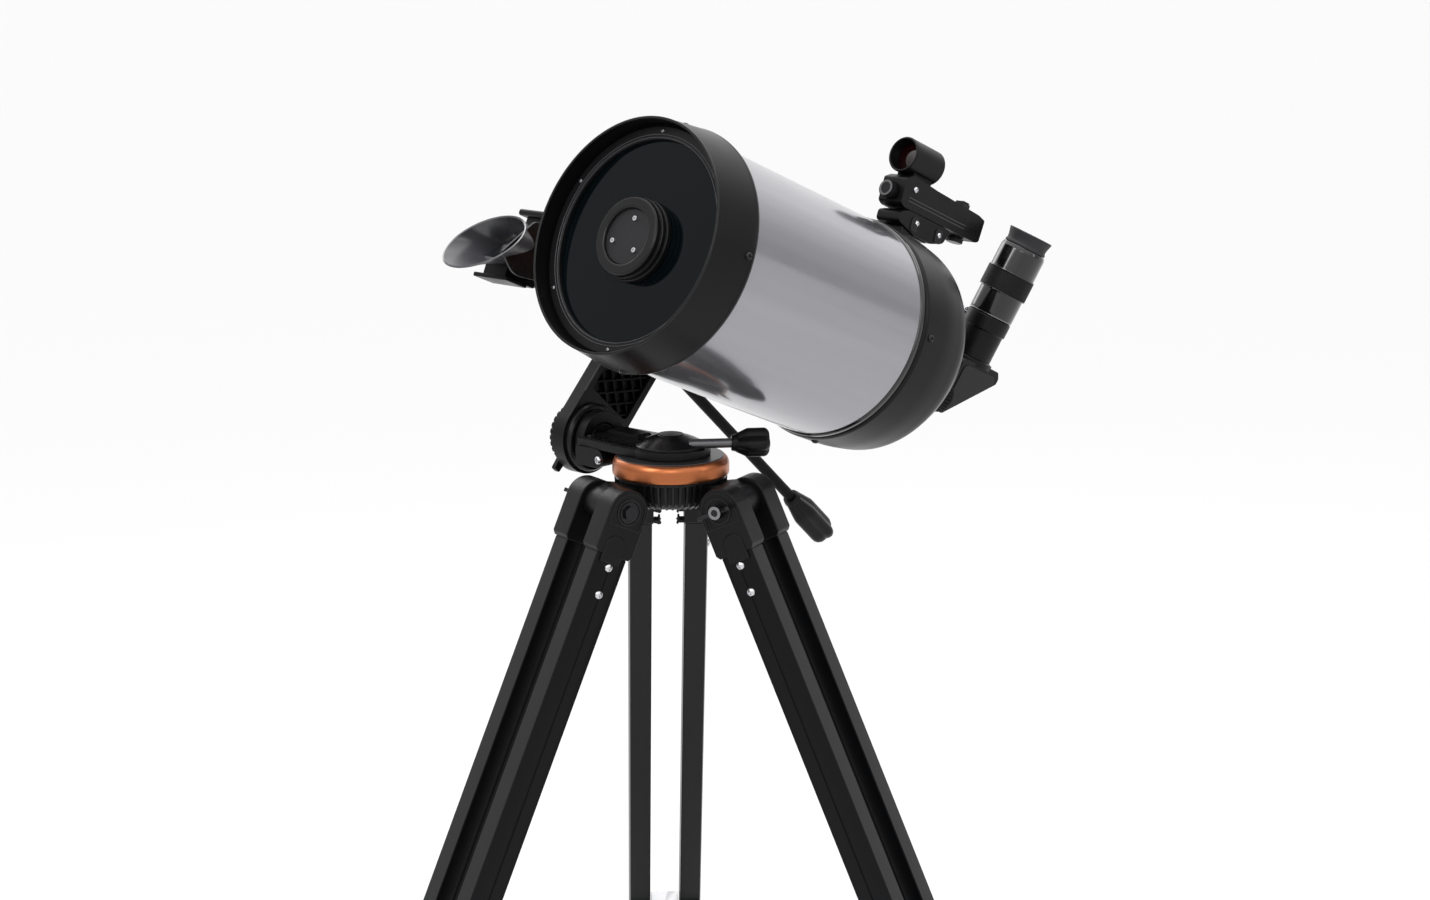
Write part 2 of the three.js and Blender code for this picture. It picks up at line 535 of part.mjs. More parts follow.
function braceArm() {
  const bar = box(-BRACE_LENGTH + 10, -4, -3, 3, -5, 5);
  const ringEnd = rodY(12, -3, 3, -BRACE_LENGTH, 0);
  const window = rodY(8.2, -8, 8, -BRACE_LENGTH, 0);
  const eye = rodY(6, -5, 5, 0, 0, 12);
  return combine([bar, eye, ringEnd], [window, rodY(3.4, -9, 9, 0, 0, 12)]);
}

for (let i = 0; i < LEG_COUNT; i += 1) {
  const spoke = group(head, [0, 0, 0], { z: 90 + i * 120 });
  const leg = group(spoke, [LEG_PIVOT_R, 0, LEG_PIVOT_Z], { y: -LEG_SPLAY });
  const id = i + 1;
  part(leg, `leg_cap_right_${id}`, railCap(1), BLACK.plastic);
  part(leg, `leg_cap_left_${id}`, railCap(-1), BLACK.plastic);
  part(leg, `upper_leg_${id}`, upperLeg(), METAL.grey);
  part(leg, `lower_leg_${id}`, lowerLeg(), METAL.grey);
  const knob = combine([alongX(lobedShape(15, 4, 3, 8), 20, 34), rodX(4, 12.6, 22, 0, 0, 12)]);
  part(leg, `leg_lock_${id}`, knob.translate(0, 0, -RAIL_END + 26), BLACK.plastic);
  const brace = group(leg, [-BRACE_IN, 0, -BRACE_DROP], { y: LEG_SPLAY });
  const sloped = group(brace, [0, 0, 0], { y: -BRACE_SLOPE });
  part(sloped, `brace_arm_${id}`, braceArm(), METAL.grey);
}

// ---------- spreader hub and tray ----------
function spreader() {
  const hub = [turnedZ(disc(11, -6, 6), SMALL)];
  const pins = [];
  for (let i = 0; i < LEG_COUNT; i += 1) {
    const turn = deg(90 + i * 120);
    for (const y of [-6, 6]) hub.push(box(7, BRACE_HUB_R + 5, y - 2, y + 2, -6, 6).rotateZ(turn));
    pins.push(rodY(3, -6, 6, BRACE_HUB_R, 0, 12).rotateZ(turn));
  }
  const node = combine([...hub, ...pins]);
  part(head, 'brace_hub', node.translate(0, 0, BRACE_HUB_Z), BLACK.plastic);
  const lobes = [turnedZ(disc(10.6, 0, 4), SMALL)];
  const holes = [];
  for (let i = 0; i < LEG_COUNT; i += 1) {
    const turn = deg(30 + i * 120);
    lobes.push(rodZ(23, 0, 4, 48, 0, 20).rotateZ(turn), box(0, 30, -7, 7, 0, 4).rotateZ(turn));
    holes.push(rodZ(16.2, -2, 8, 48, 0, 20).rotateZ(turn));
  }
  const tray = combine(lobes, holes).translate(0, 0, BRACE_HUB_Z + 6 + GAP);
  part(head, 'accessory_tray', tray, BLACK.plastic);
}
spreader();

// ---------- reference point: middle of the footprint, on the ground ----------
const extent = new THREE.Box3().setFromObject(model, true);
const centre = extent.getCenter(new THREE.Vector3());
model.position.set(-centre.x, -centre.y, -extent.min.z);
model.updateMatrixWorld(true);

export default model;
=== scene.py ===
from math import cos, radians, sin, tau

import bmesh
import bpy
from mathutils import Matrix, Vector


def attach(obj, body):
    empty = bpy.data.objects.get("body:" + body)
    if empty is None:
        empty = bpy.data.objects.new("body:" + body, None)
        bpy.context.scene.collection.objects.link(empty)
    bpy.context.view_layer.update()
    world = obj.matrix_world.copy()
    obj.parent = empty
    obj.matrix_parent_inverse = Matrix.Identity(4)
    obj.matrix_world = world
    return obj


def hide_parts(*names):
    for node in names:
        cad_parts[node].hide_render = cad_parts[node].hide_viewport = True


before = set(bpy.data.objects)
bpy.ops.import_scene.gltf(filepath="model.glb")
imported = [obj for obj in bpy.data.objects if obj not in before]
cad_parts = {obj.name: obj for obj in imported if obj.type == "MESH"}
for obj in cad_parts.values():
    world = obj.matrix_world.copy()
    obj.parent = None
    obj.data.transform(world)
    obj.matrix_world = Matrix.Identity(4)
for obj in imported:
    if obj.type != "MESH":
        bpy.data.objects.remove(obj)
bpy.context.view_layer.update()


# ---------------------------------------------------------------- frames
def move(x=0.0, y=0.0, z=0.0):
    return Matrix.Translation((x, y, z))


def turn(axis, degrees):
    return Matrix.Rotation(radians(degrees), 4, axis)


# The rest angles in degrees, then lengths; a station is a distance along the tube from its mouth.
AZIMUTH_REST, ARM_LEAN, TUBE_ALTITUDE = -47.3, 42.4, 22.6
ARM_LENGTH, PIVOT_HEIGHT, TUBE_OFFSET, ALTITUDE_STATION = 141.0, 3.6, 29.9, 144.5
LEG_SPLAY, LEG_LENGTH, RAIL_END, LOWER_TOP = 24.3, 880.0, 620.0, 465.0
BRACE_DROP, BRACE_LENGTH, BRACE_SLOPE, HUB_Z = 465.0, 258.4, 42.0, -640.93
BRACE_OFFSET, PIVOT_REACH, PIVOT_DROP = -30, 56.4, -28.5
HEAD_Y, HEAD_Z = -105.09, 830.535
DRIVE_Z, DRIVE_TURN, DRIVE_REACH = 13.6, 50.8 - 90, 15.2
DIAGONAL_STATION, DIAGONAL_TURN, SCREW_Z = 368.6, 15.5, 54
FOCUSER = {"x": 40, "z": -24}
WINDOW_Z, FINDER_KNOB_Z = 149.3, 118.5
WORM_X, WORM_Z = -96.5, ARM_LENGTH - 46.8
HEAD = Matrix.Scale(0.001, 4) @ move(y=HEAD_Y, z=HEAD_Z)
MOUNT = HEAD @ turn("Z", AZIMUTH_REST)
DRIVE = MOUNT @ move(z=DRIVE_Z) @ turn("Z", DRIVE_TURN) @ move(x=DRIVE_REACH)
ARM = MOUNT @ move(z=PIVOT_HEIGHT) @ turn("X", -ARM_LEAN)
lean = radians(ARM_LEAN)
ALTITUDE = (
    MOUNT
    @ move(y=ARM_LENGTH * sin(lean), z=PIVOT_HEIGHT + ARM_LENGTH * cos(lean))
    @ turn("X", -TUBE_ALTITUDE)
)
TUBE = ALTITUDE @ move(x=TUBE_OFFSET, y=-ALTITUDE_STATION)
DIAGONAL = TUBE @ move(y=DIAGONAL_STATION) @ turn("Y", DIAGONAL_TURN)
SPOKES = [HEAD @ turn("Z", 90 + 120 * i) for i in range(3)]
LEGS = [s @ move(x=PIVOT_REACH, z=PIVOT_DROP) @ turn("Y", -LEG_SPLAY) for s in SPOKES]
BRACES = [leg @ move(x=BRACE_OFFSET, z=-BRACE_DROP) @ turn("Y", LEG_SPLAY) @ turn("Y", -BRACE_SLOPE)
          for leg in LEGS]


# ---------------------------------------------------------------- shapes
# A shape is a pair: corner points, and faces as lists of corner numbers.
def join(*shapes):
    points, faces = [], []
    for p, f in shapes:
        faces += [[i + len(points) for i in face] for face in f]
        points += p
    return points, faces


def moved(shape, matrix):
    return [tuple(matrix @ Vector(p)) for p in shape[0]], shape[1]


def at(shape, x=0.0, y=0.0, z=0.0):
    return moved(shape, move(x, y, z))


def along_x(shape):
    return [(z, x, y) for x, y, z in shape[0]], shape[1]


def along_y(shape):
    return [(x, z, y) for x, y, z in shape[0]], shape[1]


def aimed(shape, point, direction):
    """The shape with its +Z turned to a direction and its origin put at a point."""
    return moved(shape, move(*point) @ Vector(direction).to_track_quat("Z", "Y").to_matrix().to_4x4())


def box(x0, x1, y0, y1, z0, z1):
    points = [(x, y, z) for z in (z0, z1) for y in (y0, y1) for x in (x0, x1)]
    return points, [[0, 2, 3, 1], [4, 5, 7, 6], [0, 1, 5, 4], [2, 6, 7, 3], [0, 4, 6, 2], [1, 3, 7, 5]]


def lathe(profile, steps=96):
    """A closed profile of (radius, height) turned about Z; radius 0 is the axis."""
    points, rows, faces = [], [], []
    for r, h in profile:
        if r < 1e-6:
            rows.append([len(points)] * steps)
            points.append((0, 0, h))
        else:
            rows.append([len(points) + k for k in range(steps)])
            points += [(r * cos(tau * k / steps), r * sin(tau * k / steps), h) for k in range(steps)]
    for a, b in zip(rows, rows[1:] + rows[:1]):
        for k in range(steps):
            face = []
            for i in (a[k], a[k - 1], b[k - 1], b[k]):
                if i not in face:
                    face.append(i)
            if len(face) > 2:
                faces.append(face)
    return points, faces


def rod(r, z0, z1, steps=48):
    return lathe([(0, z0), (r, z0), (r, z1), (0, z1)], steps)


def tube(inner, outer, z0, z1, steps=96):
    return lathe([(inner, z0), (outer, z0), (outer, z1), (inner, z1)], steps)


def prism(outline, z0, z1):
    n = len(outline)
    points = [(x, y, z) for z in (z0, z1) for x, y in outline]
    sides = [[i, (i + 1) % n, n + (i + 1) % n, n + i] for i in range(n)]
    return points, sides + [list(range(n)), list(range(n, 2 * n))]


def rounded(outline, radius, steps=4):
    """An outline with each corner turned into a small curve."""
    out = []
    for i, corner in enumerate(outline):
        p, a, b = Vector(corner), Vector(outline[i - 1]), Vector(outline[(i + 1) % len(outline)])
        r = radius[i] if isinstance(radius, (list, tuple)) else radius
        if r == 0:
            out.append(tuple(p))
            continue
        start = p + (a - p).normalized() * min(r, 0.48 * (a - p).length)
        end = p + (b - p).normalized() * min(r, 0.48 * (b - p).length)
        for k in range(steps + 1):
            t = k / steps
            out.append(tuple(start * (1 - t) ** 2 + p * 2 * t * (1 - t) + end * t * t))
    return out


def spun(profile, radius, steps=96):
    """A closed profile with rounded corners, turned about Z."""
    return lathe(rounded(profile, radius), steps)


def rectangle(x0, x1, y0, y1, r=0.0):
    outline = [(x0, y0), (x1, y0), (x1, y1), (x0, y1)]
    return rounded(outline, r) if r else outline


def arc(cx, cy, r, start, end, steps=24):
    angles = [radians(start + (end - start) * k / steps) for k in range(steps + 1)]
    return [(cx + r * cos(a), cy + r * sin(a)) for a in angles]


def lobed(r, depth, lobes, steps=16, power=1.0):
    """A knob outline: radius r at each lobe and r - depth between them."""
    out = []
    for k in range(lobes * steps):
        a = tau * k / (lobes * steps)
        wave = (0.5 + 0.5 * cos(lobes * a)) ** power
        out.append(((r - depth + depth * wave) * cos(a), (r - depth + depth * wave) * sin(a)))
    return out


def ribbed(r, depth, ribs, z0, z1, fill=0.55, ease=0.12):
    """A knob rim with straight ribs."""
    outline = []
    for k in range(ribs):
        for share, radius in ((0, r), (fill, r), (fill + ease, r - depth), (1 - ease, r - depth)):
            a = tau * (k + share) / ribs
            outline.append((radius * cos(a), radius * sin(a)))
    return prism(outline, z0, z1)


def stacked(points, rows, around):
    """A closed shape from rings of points, one above the other."""
    faces = []
    for j in range(rows):
        for k in range(around):
            m = (k + 1) % around
            faces.append([j * around + k, j * around + m, (j + 1) * around + m, (j + 1) * around + k])
    return points, faces + [list(range(around)), [rows * around + k for k in range(around)]]


def knurled(r, z0, z1, pitch=1.5, depth=0.35):
    """A band with diamond knurling."""
    around = 4 * round(tau * r / pitch)
    rows = max(2, round(4 * (z1 - z0) / pitch))
    heights = [z0 + (z1 - z0) * j / rows for j in range(rows + 1)]
    points = []
    for j, z in enumerate(heights):
        for k in range(around):
            u, v = k / 4, (z - z0) / pitch
            cut = min(abs((u + v) % 1 - 0.5), abs((u - v) % 1 - 0.5))
            edge = 0.0 if j in (0, rows) else 1.0
            radius = r - depth * (1 - min(1.0, 2.6 * (0.5 - cut) * edge))
            a = tau * k / around
            points.append((radius * cos(a), radius * sin(a), z))
    return stacked(points, rows, around)


# ---------------------------------------------------------------- meshes
def mesh_of(shape):
    mesh = bpy.data.meshes.new("work")
    mesh.from_pydata(shape[0], [], shape[1])
    bm = bmesh.new()
    bm.from_mesh(mesh)
    bmesh.ops.remove_doubles(bm, verts=bm.verts, dist=1e-5)
    bmesh.ops.recalc_face_normals(bm, faces=bm.faces)
    bm.to_mesh(mesh)
    bm.free()
    return mesh


def evaluated(obj):
    """The object's mesh with its modifiers applied."""
    graph = bpy.context.evaluated_depsgraph_get()
    return bpy.data.meshes.new_from_object(obj.evaluated_get(graph), depsgraph=graph)


def carve(shape, *tools, operation="DIFFERENCE"):
    """The shape with other closed shapes cut from it."""
    objects = []
    for s in (shape, *tools):
        o = bpy.data.objects.new("work", mesh_of(s))
        bpy.context.scene.collection.objects.link(o)
        objects.append(o)
    for tool in objects[1:]:
        modifier = objects[0].modifiers.new("cut", "BOOLEAN")
        modifier.operation, modifier.object, modifier.solver = operation, tool, "EXACT"
    result = evaluated(objects[0])
    made = [tuple(v.co) for v in result.vertices], [list(p.vertices) for p in result.polygons]
    for o in objects:
        bpy.data.objects.remove(o)
    return made


def place(name, shape, base, body, finish, hides=(), bevel=0.0, steps=2, crease=40, slot=None):
    """Makes the finished piece: bevelled, smooth between creases, riding on its body."""
    mesh = mesh_of(shape)
    mesh.transform(base)
    if base.determinant() < 0:
        mesh.flip_normals()
    obj = bpy.data.objects.new(name, mesh)
    bpy.context.scene.collection.objects.link(obj)
    if bevel:
        b = obj.modifiers.new("bevel", "BEVEL")
        b.width, b.segments, b.limit_method, b.angle_limit = bevel / 1000, steps, "ANGLE", radians(28)
        b.use_clamp_overlap, b.miter_outer = True, "MITER_ARC"
        obj.data = evaluated(obj)
        obj.modifiers.clear()
    obj.data.polygons.foreach_set("use_smooth", [True] * len(obj.data.polygons))
    obj.data.set_sharp_from_angle(angle=radians(crease))
    obj.modifiers.new("even", "WEIGHTED_NORMAL").keep_sharp = True
    obj.data = evaluated(obj)
    obj.modifiers.clear()
    obj.data.name = name
    obj.data.materials.clear()
    obj.data.materials.append(FINISH[finish])
    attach(obj, body)
    for node in [hides] if isinstance(hides, str) else hides:
        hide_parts(node)
    return obj


def on_tube(name, shape, *rest, **more):
    """A piece fixed to the optical tube."""
    place(name, shape, TUBE, "tube", *rest, **more)


# ---------------------------------------------------------------- finishes
FINISH, SLOT = {}, {}


def finish(name, slot, colour, rough, metal=0.0, coat=0.0, grain=None, mottle=None, smudge=None,
           streak=None, drift=None, specular=0.5):
    """A procedural finish. grain (size mm, strength) is a fine relief, mottle (size mm, share) varies
    the colour, smudge (size mm, amount) varies the roughness, streak is the turn of fine
    lines in relief, and drift the turn of the mottle's long direction from +Z."""
    material = bpy.data.materials.new(name)
    material.use_nodes = True
    nodes, links = material.node_tree.nodes, material.node_tree.links
    shader = nodes["Principled BSDF"]
    shader.inputs["Base Color"].default_value = (*colour, 1)
    shader.inputs["Roughness"].default_value = rough
    shader.inputs["Metallic"].default_value = metal
    shader.inputs["Coat Weight"].default_value = coat
    shader.inputs["Coat Roughness"].default_value = 0.06
    shader.inputs["Specular IOR Level"].default_value = specular
    coords = nodes.new("ShaderNodeTexCoord").outputs["Object"]

    def noise(size, detail=3.0, stretch=None):
        texture = nodes.new("ShaderNodeTexNoise")
        texture.inputs["Scale"].default_value = 1000.0 / size
        texture.inputs["Detail"].default_value = detail
        source = coords
        if stretch is not None:
            mapping = nodes.new("ShaderNodeMapping")
            mapping.vector_type = "TEXTURE"
            mapping.inputs["Rotation"].default_value = stretch
            mapping.inputs["Scale"].default_value = (1, 1, 50)
            links.new(coords, mapping.inputs["Vector"])
            source = mapping.outputs["Vector"]
        links.new(source, texture.inputs["Vector"])
        return texture.outputs["Fac"]

    if mottle:
        mix = nodes.new("ShaderNodeMix")
        mix.data_type = "RGBA"
        mix.inputs[6].default_value = (*[c * (1 - mottle[1]) for c in colour], 1)
        mix.inputs[7].default_value = (*[min(1, c * (1 + mottle[1])) for c in colour], 1)
        links.new(noise(mottle[0], stretch=drift), mix.inputs[0])
        links.new(mix.outputs[2], shader.inputs["Base Color"])
    if smudge:
        spread = nodes.new("ShaderNodeMapRange")
        spread.inputs["From Min"].default_value, spread.inputs["From Max"].default_value = 0.3, 0.7
        spread.inputs["To Min"].default_value = max(0.0, rough - smudge[1])
        spread.inputs["To Max"].default_value = rough + smudge[1]
        links.new(noise(smudge[0]), spread.inputs["Value"])
        links.new(spread.outputs["Result"], shader.inputs["Roughness"])
    if grain or streak is not None:
        bump = nodes.new("ShaderNodeBump")
        size, strength = grain or (0.25, 0.15)
        bump.inputs["Strength"].default_value = strength
        bump.inputs["Distance"].default_value = size / 1000 * 0.5
        links.new(noise(size, 2.0, streak), bump.inputs["Height"])
        links.new(bump.outputs["Normal"], shader.inputs["Normal"])
    FINISH[name], SLOT[name] = material, slot
    return shader


finish("casting", "black_casting", (0.0026, 0.0026, 0.003), 0.38, grain=(0.55, 0.3), mottle=(9, 0.15),
       smudge=(14, 0.06), specular=0.18)
finish("plastic", "black_plastic", (0.0026, 0.0026, 0.003), 0.38, grain=(0.4, 0.25), mottle=(12, 0.15),
       smudge=(18, 0.05), specular=0.17)
finish("satin", "black_plastic", (0.004, 0.004, 0.0046), 0.28, grain=(0.3, 0.1), smudge=(30, 0.05),
       mottle=(25, 0.1), specular=0.24)
finish("shell", "black_plastic", (0.0024, 0.0024, 0.0028), 0.32, grain=(0.35, 0.12), smudge=(40, 0.04),
       mottle=(30, 0.1), specular=0.17)
# A black plastic lightened far above the other blacks: painted light, standing in for the light on the
# hood's shaded inside and for the thin highlight rings on the retaining ring.
finish("scoop", "black_plastic", (0.04, 0.04, 0.0445), 0.24, grain=(0.3, 0.08), smudge=(30, 0.04),
       mottle=(25, 0.1), specular=0.6)
finish("ring", "black_plastic", (0.004, 0.004, 0.0045), 0.4, grain=(0.3, 0.1), mottle=(20, 0.1),
       specular=0.18)
finish("matte", "black_plastic", (0.0105, 0.0105, 0.0118), 0.5, grain=(0.3, 0.15), mottle=(20, 0.1),
       specular=0.22)
finish("shade", "black_casting", (0.0016, 0.0016, 0.0019), 0.45, grain=(0.5, 0.2), mottle=(9, 0.15),
       specular=0.1)
finish("gloss", "gloss_black", (0.003, 0.003, 0.0033), 0.12, coat=0.5, smudge=(22, 0.05), mottle=(15, 0.1),
       specular=0.4)
finish("rubber", "rubber", (0.0022, 0.0022, 0.0026), 0.56, grain=(0.5, 0.4), mottle=(8, 0.15), specular=0.1)
finish("paint", "silver_paint", (0.295, 0.295, 0.317), 0.19, metal=0.8, coat=0.35, mottle=(9, 0.09),
       smudge=(70, 0.05), drift=(radians(-90 - TUBE_ALTITUDE), 0, radians(AZIMUTH_REST)))
finish("copper", "copper_anodised", (0.40, 0.127, 0.049), 0.3, metal=0.92, grain=(0.3, 0.1),
       mottle=(1.2, 0.08), smudge=(20, 0.04))
finish("alloy", "leg_aluminium", (0.42, 0.42, 0.43), 0.36, metal=0.85, mottle=(6, 0.06), streak=(0, 0, 0),
       grain=(0.35, 0.12))
finish("black_alloy", "leg_aluminium", (0.0016, 0.0017, 0.0022), 0.28, specular=0.14, mottle=(8, 0.1),
       grain=(0.3, 0.12))
finish("rail_face", "leg_aluminium", (0.0022, 0.0022, 0.0026), 0.36, mottle=(3, 0.15), grain=(0.35, 0.25),
       specular=0.27)
finish("grey_metal", "steel", (0.12, 0.12, 0.125), 0.38, metal=0.85, mottle=(5, 0.1), grain=(0.3, 0.1))
finish("edge", "black_casting", (0.03, 0.03, 0.033), 0.34, metal=0.4, mottle=(6, 0.1), grain=(0.3, 0.1))
finish("steel", "steel", (0.58, 0.58, 0.60), 0.24, metal=1.0, mottle=(3, 0.08), grain=(0.25, 0.06))
finish("dark_steel", "steel", (0.02, 0.02, 0.022), 0.26, metal=0.8, mottle=(3, 0.1), grain=(0.25, 0.08))
finish("dull_steel", "steel", (0.22, 0.22, 0.23), 0.3, metal=1.0, mottle=(3, 0.08), grain=(0.25, 0.06))
finish("cup", "rubber", (0.017, 0.017, 0.019), 0.6, grain=(0.5, 0.3), mottle=(8, 0.12), specular=0.3)
finish("mirror", "mirror_coating", (0.86, 0.87, 0.89), 0.03, metal=1.0, mottle=(60, 0.01))
finish("glass", "corrector_glass", (0.0010, 0.0023, 0.0031), 0.06, specular=0.13, mottle=(70, 0.3),
       smudge=(40, 0.02))
finish("red_glass", "corrector_glass", (0.008, 0.0009, 0.0014), 0.04, coat=0.4, mottle=(5, 0.2))

# ---------------------------------------------------------------- small fasteners
DOME = lathe([(0, -1), (2.9, -1), (2.9, 0.5), (2.4, 1.3), (1.3, 1.85), (0, 2.0)], 24)
PHILLIPS = carve(carve(DOME, box(-1.7, 1.7, -0.36, 0.36, 0.9, 3)), box(-0.36, 0.36, -1.7, 1.7, 0.9, 3))
HEXAGON = [(cos(tau * k / 6), sin(tau * k / 6)) for k in range(6)]
SOCKET_HEAD = carve(lathe([(0, -1), (2.4, -1), (2.4, 1.6), (2.1, 2.0), (0, 2.0)], 24),
                    prism([(1.15 * x, 1.15 * y) for x, y in HEXAGON], 0.6, 3))


def scaled(shape, s):
    return [(x * s, y * s, z * s) for x, y, z in shape[0]], shape[1]


# ---------------------------------------------------------------- optical tube
def optical_tube():
    seat = -18.3
    painted_highlight_rings = (76.2, 78.4)
    shield = rounded([(86.6, -39.7), (88.2, -39.7), (92.5, -4.5), (93, -2.2), (92.4, 0), (84.8, 0),
                      (84.8, 10), (82, 10), (77, -12), (77, seat), (86.6, seat)], 0.5)
    on_tube("light_shield", along_y(lathe(shield, 160)), "shell", "front_cell", crease=30)
    rim = spun([(86.5, -39.9), (88.35, -39.9), (88.5, -38.6), (86.5, -38.6)], 0.5, 160)
    on_tube("shield_rim", along_y(rim), "satin")
    ring = rounded([(75.4, -23), (75.4, -26.2), (76.6, -27), (84.6, -27), (85.6, -25.6), (86.4, -25.6),
                    (86.4, -23)], 0.4)
    on_tube("retaining_ring", along_y(lathe(ring, 160)), "ring", "corrector_ring", crease=30)
    screws = [aimed(scaled(PHILLIPS, 0.62), (81.6 * cos(a), -27, 81.6 * sin(a)), (0, -1, 0))
              for a in [radians(92 + 60 * k) for k in range(6)]]
    on_tube("ring_screws", join(*screws), "dull_steel")
    plate = spun([(24, -22.7), (75.6, -22.9), (84, -22.7), (84, -18.7), (24, -18.7)], 0.2, 160)
    on_tube("corrector", along_y(plate), "glass", "corrector_plate")
    steps = [(75.5, -18.5), (75.5, -16), (74.6, -16), (74.6, -13), (73.8, -13), (73.8, -10), (76.5, -10),
             (76.5, -18.5)]
    # Two thin rings on the retaining ring's face in the lightened plastic: painted highlight lines.
    lines = [spun([(r, -27.5), (r + 0.5, -27.5), (r + 0.5, -26.5), (r, -26.5)], 0.2, 160)
             for r in painted_highlight_rings]
    on_tube("painted_highlight_rings", along_y(join(*lines)), "scoop")
    on_tube("stop_rings", along_y(lathe(steps, 128)), "ring")

    cell = rounded([(0, -34.6), (20.6, -34.6), (21.2, -37.2), (22.3, -37.6), (28.2, -37.6), (29.5, -36.4),
                    (29.9, -33.4), (28.9, -33), (28.9, -32), (30.3, -31.6), (30.6, -28.6), (29.6, -28.2),
                    (29.6, -27.2), (30.9, -26.8), (31, -23), (23.8, -23), (23.8, seat), (30, seat),
                    (28, -4), (0, -4)], [0] + [0.5] * 18 + [0])
    on_tube("secondary_holder", along_y(lathe(cell, 128)), "satin", "secondary_cell", crease=30)
    face = lathe([(0, -34.9), (20.3, -34.9), (20.3, -34.4), (0, -34.4)], 96)
    on_tube("secondary_face", along_y(face), "matte")
    centring = [aimed(scaled(SOCKET_HEAD, 0.85), (13.9 * cos(a), -34.9, 13.9 * sin(a)), (0, -1, 0))
                for a in [radians(78 + 120 * k) for k in range(3)]]
    on_tube("centring_screws", join(*centring), "steel")

    on_tube("tube_shell", along_y(lathe([(85.4, 0.4), (87, 0.4), (87, 203.2), (85.4, 203.2)], 192)),
            "paint", "main_tube", crease=30)
    lip = spun([(86.2, 198.6), (87.5, 198.6), (88.4, 199.8), (88.4, 202.6), (86.2, 202.6)], 0.5, 160)
    on_tube("rear_lip", along_y(lip), "gloss")
    radii = [0.2, 0.2, 1, 1.2, 8, 4, 2, 4, 4, 1.5, 1.2, 0.6, 0.8, 0.4, 0.2, 1, 1, 0.2]
    shell = rounded([(84.8, 193), (84.8, 203.4), (88.5, 203.4), (89.6, 206), (88.9, 236), (86.2, 255),
                     (84.6, 260.5), (80.5, 266.5), (71.5, 279), (66, 280), (31, 280), (31, 286.6),
                     (30, 288), (19, 288), (19, 272), (68, 272), (80, 258), (80, 193)], radii)
    back = carve(along_y(lathe(shell, 128)), at(along_y(rod(4.6, 260, 290)), **FOCUSER))
    on_tube("rear_casting", back, "shell", "rear_cell", crease=24)
    cell_screws = [aimed(scaled(PHILLIPS, 1.05), (r * cos(a), y, r * sin(a)), (cos(a), 0, sin(a)))
                   for r, y, first in ((92.2, -6.6, 2), (89.3, 213, 2.5))
                   for a in [radians(first + 90 * k) for k in range(4)]]
    on_tube("cell_screws", join(*cell_screws), "dark_steel", slot="steel")
    on_tube("baffle", along_y(lathe([(16.8, 96), (18.6, 96), (18.6, 287.7), (16.8, 287.7)], 64)), "ring",
            "baffle_tube")
    disc = lathe([(19.3, 216.2), (40, 217.2), (60, 219), (76, 221.5), (76, 234), (19.3, 234)], 96)
    place("main_mirror", along_y(disc), TUBE, "mirror", "mirror", "primary_mirror")

    knob = join(ribbed(14, 0.8, 30, 282.4, 302.6), rod(12.9, 281.2, 303.2), rod(11, 303, 304),
                rod(4, 246, 284))
    place("focuser_knob", at(along_y(knob), **FOCUSER), TUBE, "focus_knob", "rubber", "focus_knob",
          bevel=0.35)
    on_tube("focuser_collar", at(along_y(spun([(5, 279), (17, 279), (16, 281), (5, 281)], 0.4)), **FOCUSER),
            "satin")
    adapter = rounded([(16.2, 288.3), (24.6, 288.3), (25.2, 290), (25.2, 301), (21.5, 303), (21, 305),
                       (21, 319.6), (20.2, 321), (16.2, 321)], 0.5)
    on_tube("eyepiece_port", along_y(lathe(adapter, 96)), "casting", "visual_back")
    on_tube("port_grip", along_y(ribbed(26, 0.7, 44, 290.6, 300.2)), "casting", bevel=0.2)
    threads = [lathe([(20.5, y), (21.5, y + 0.5), (20.5, y + 1)], 72) for y in (306.5, 308.5, 310.5, 312.5)]
    on_tube("port_threads", along_y(join(*threads)), "satin")


optical_tube()


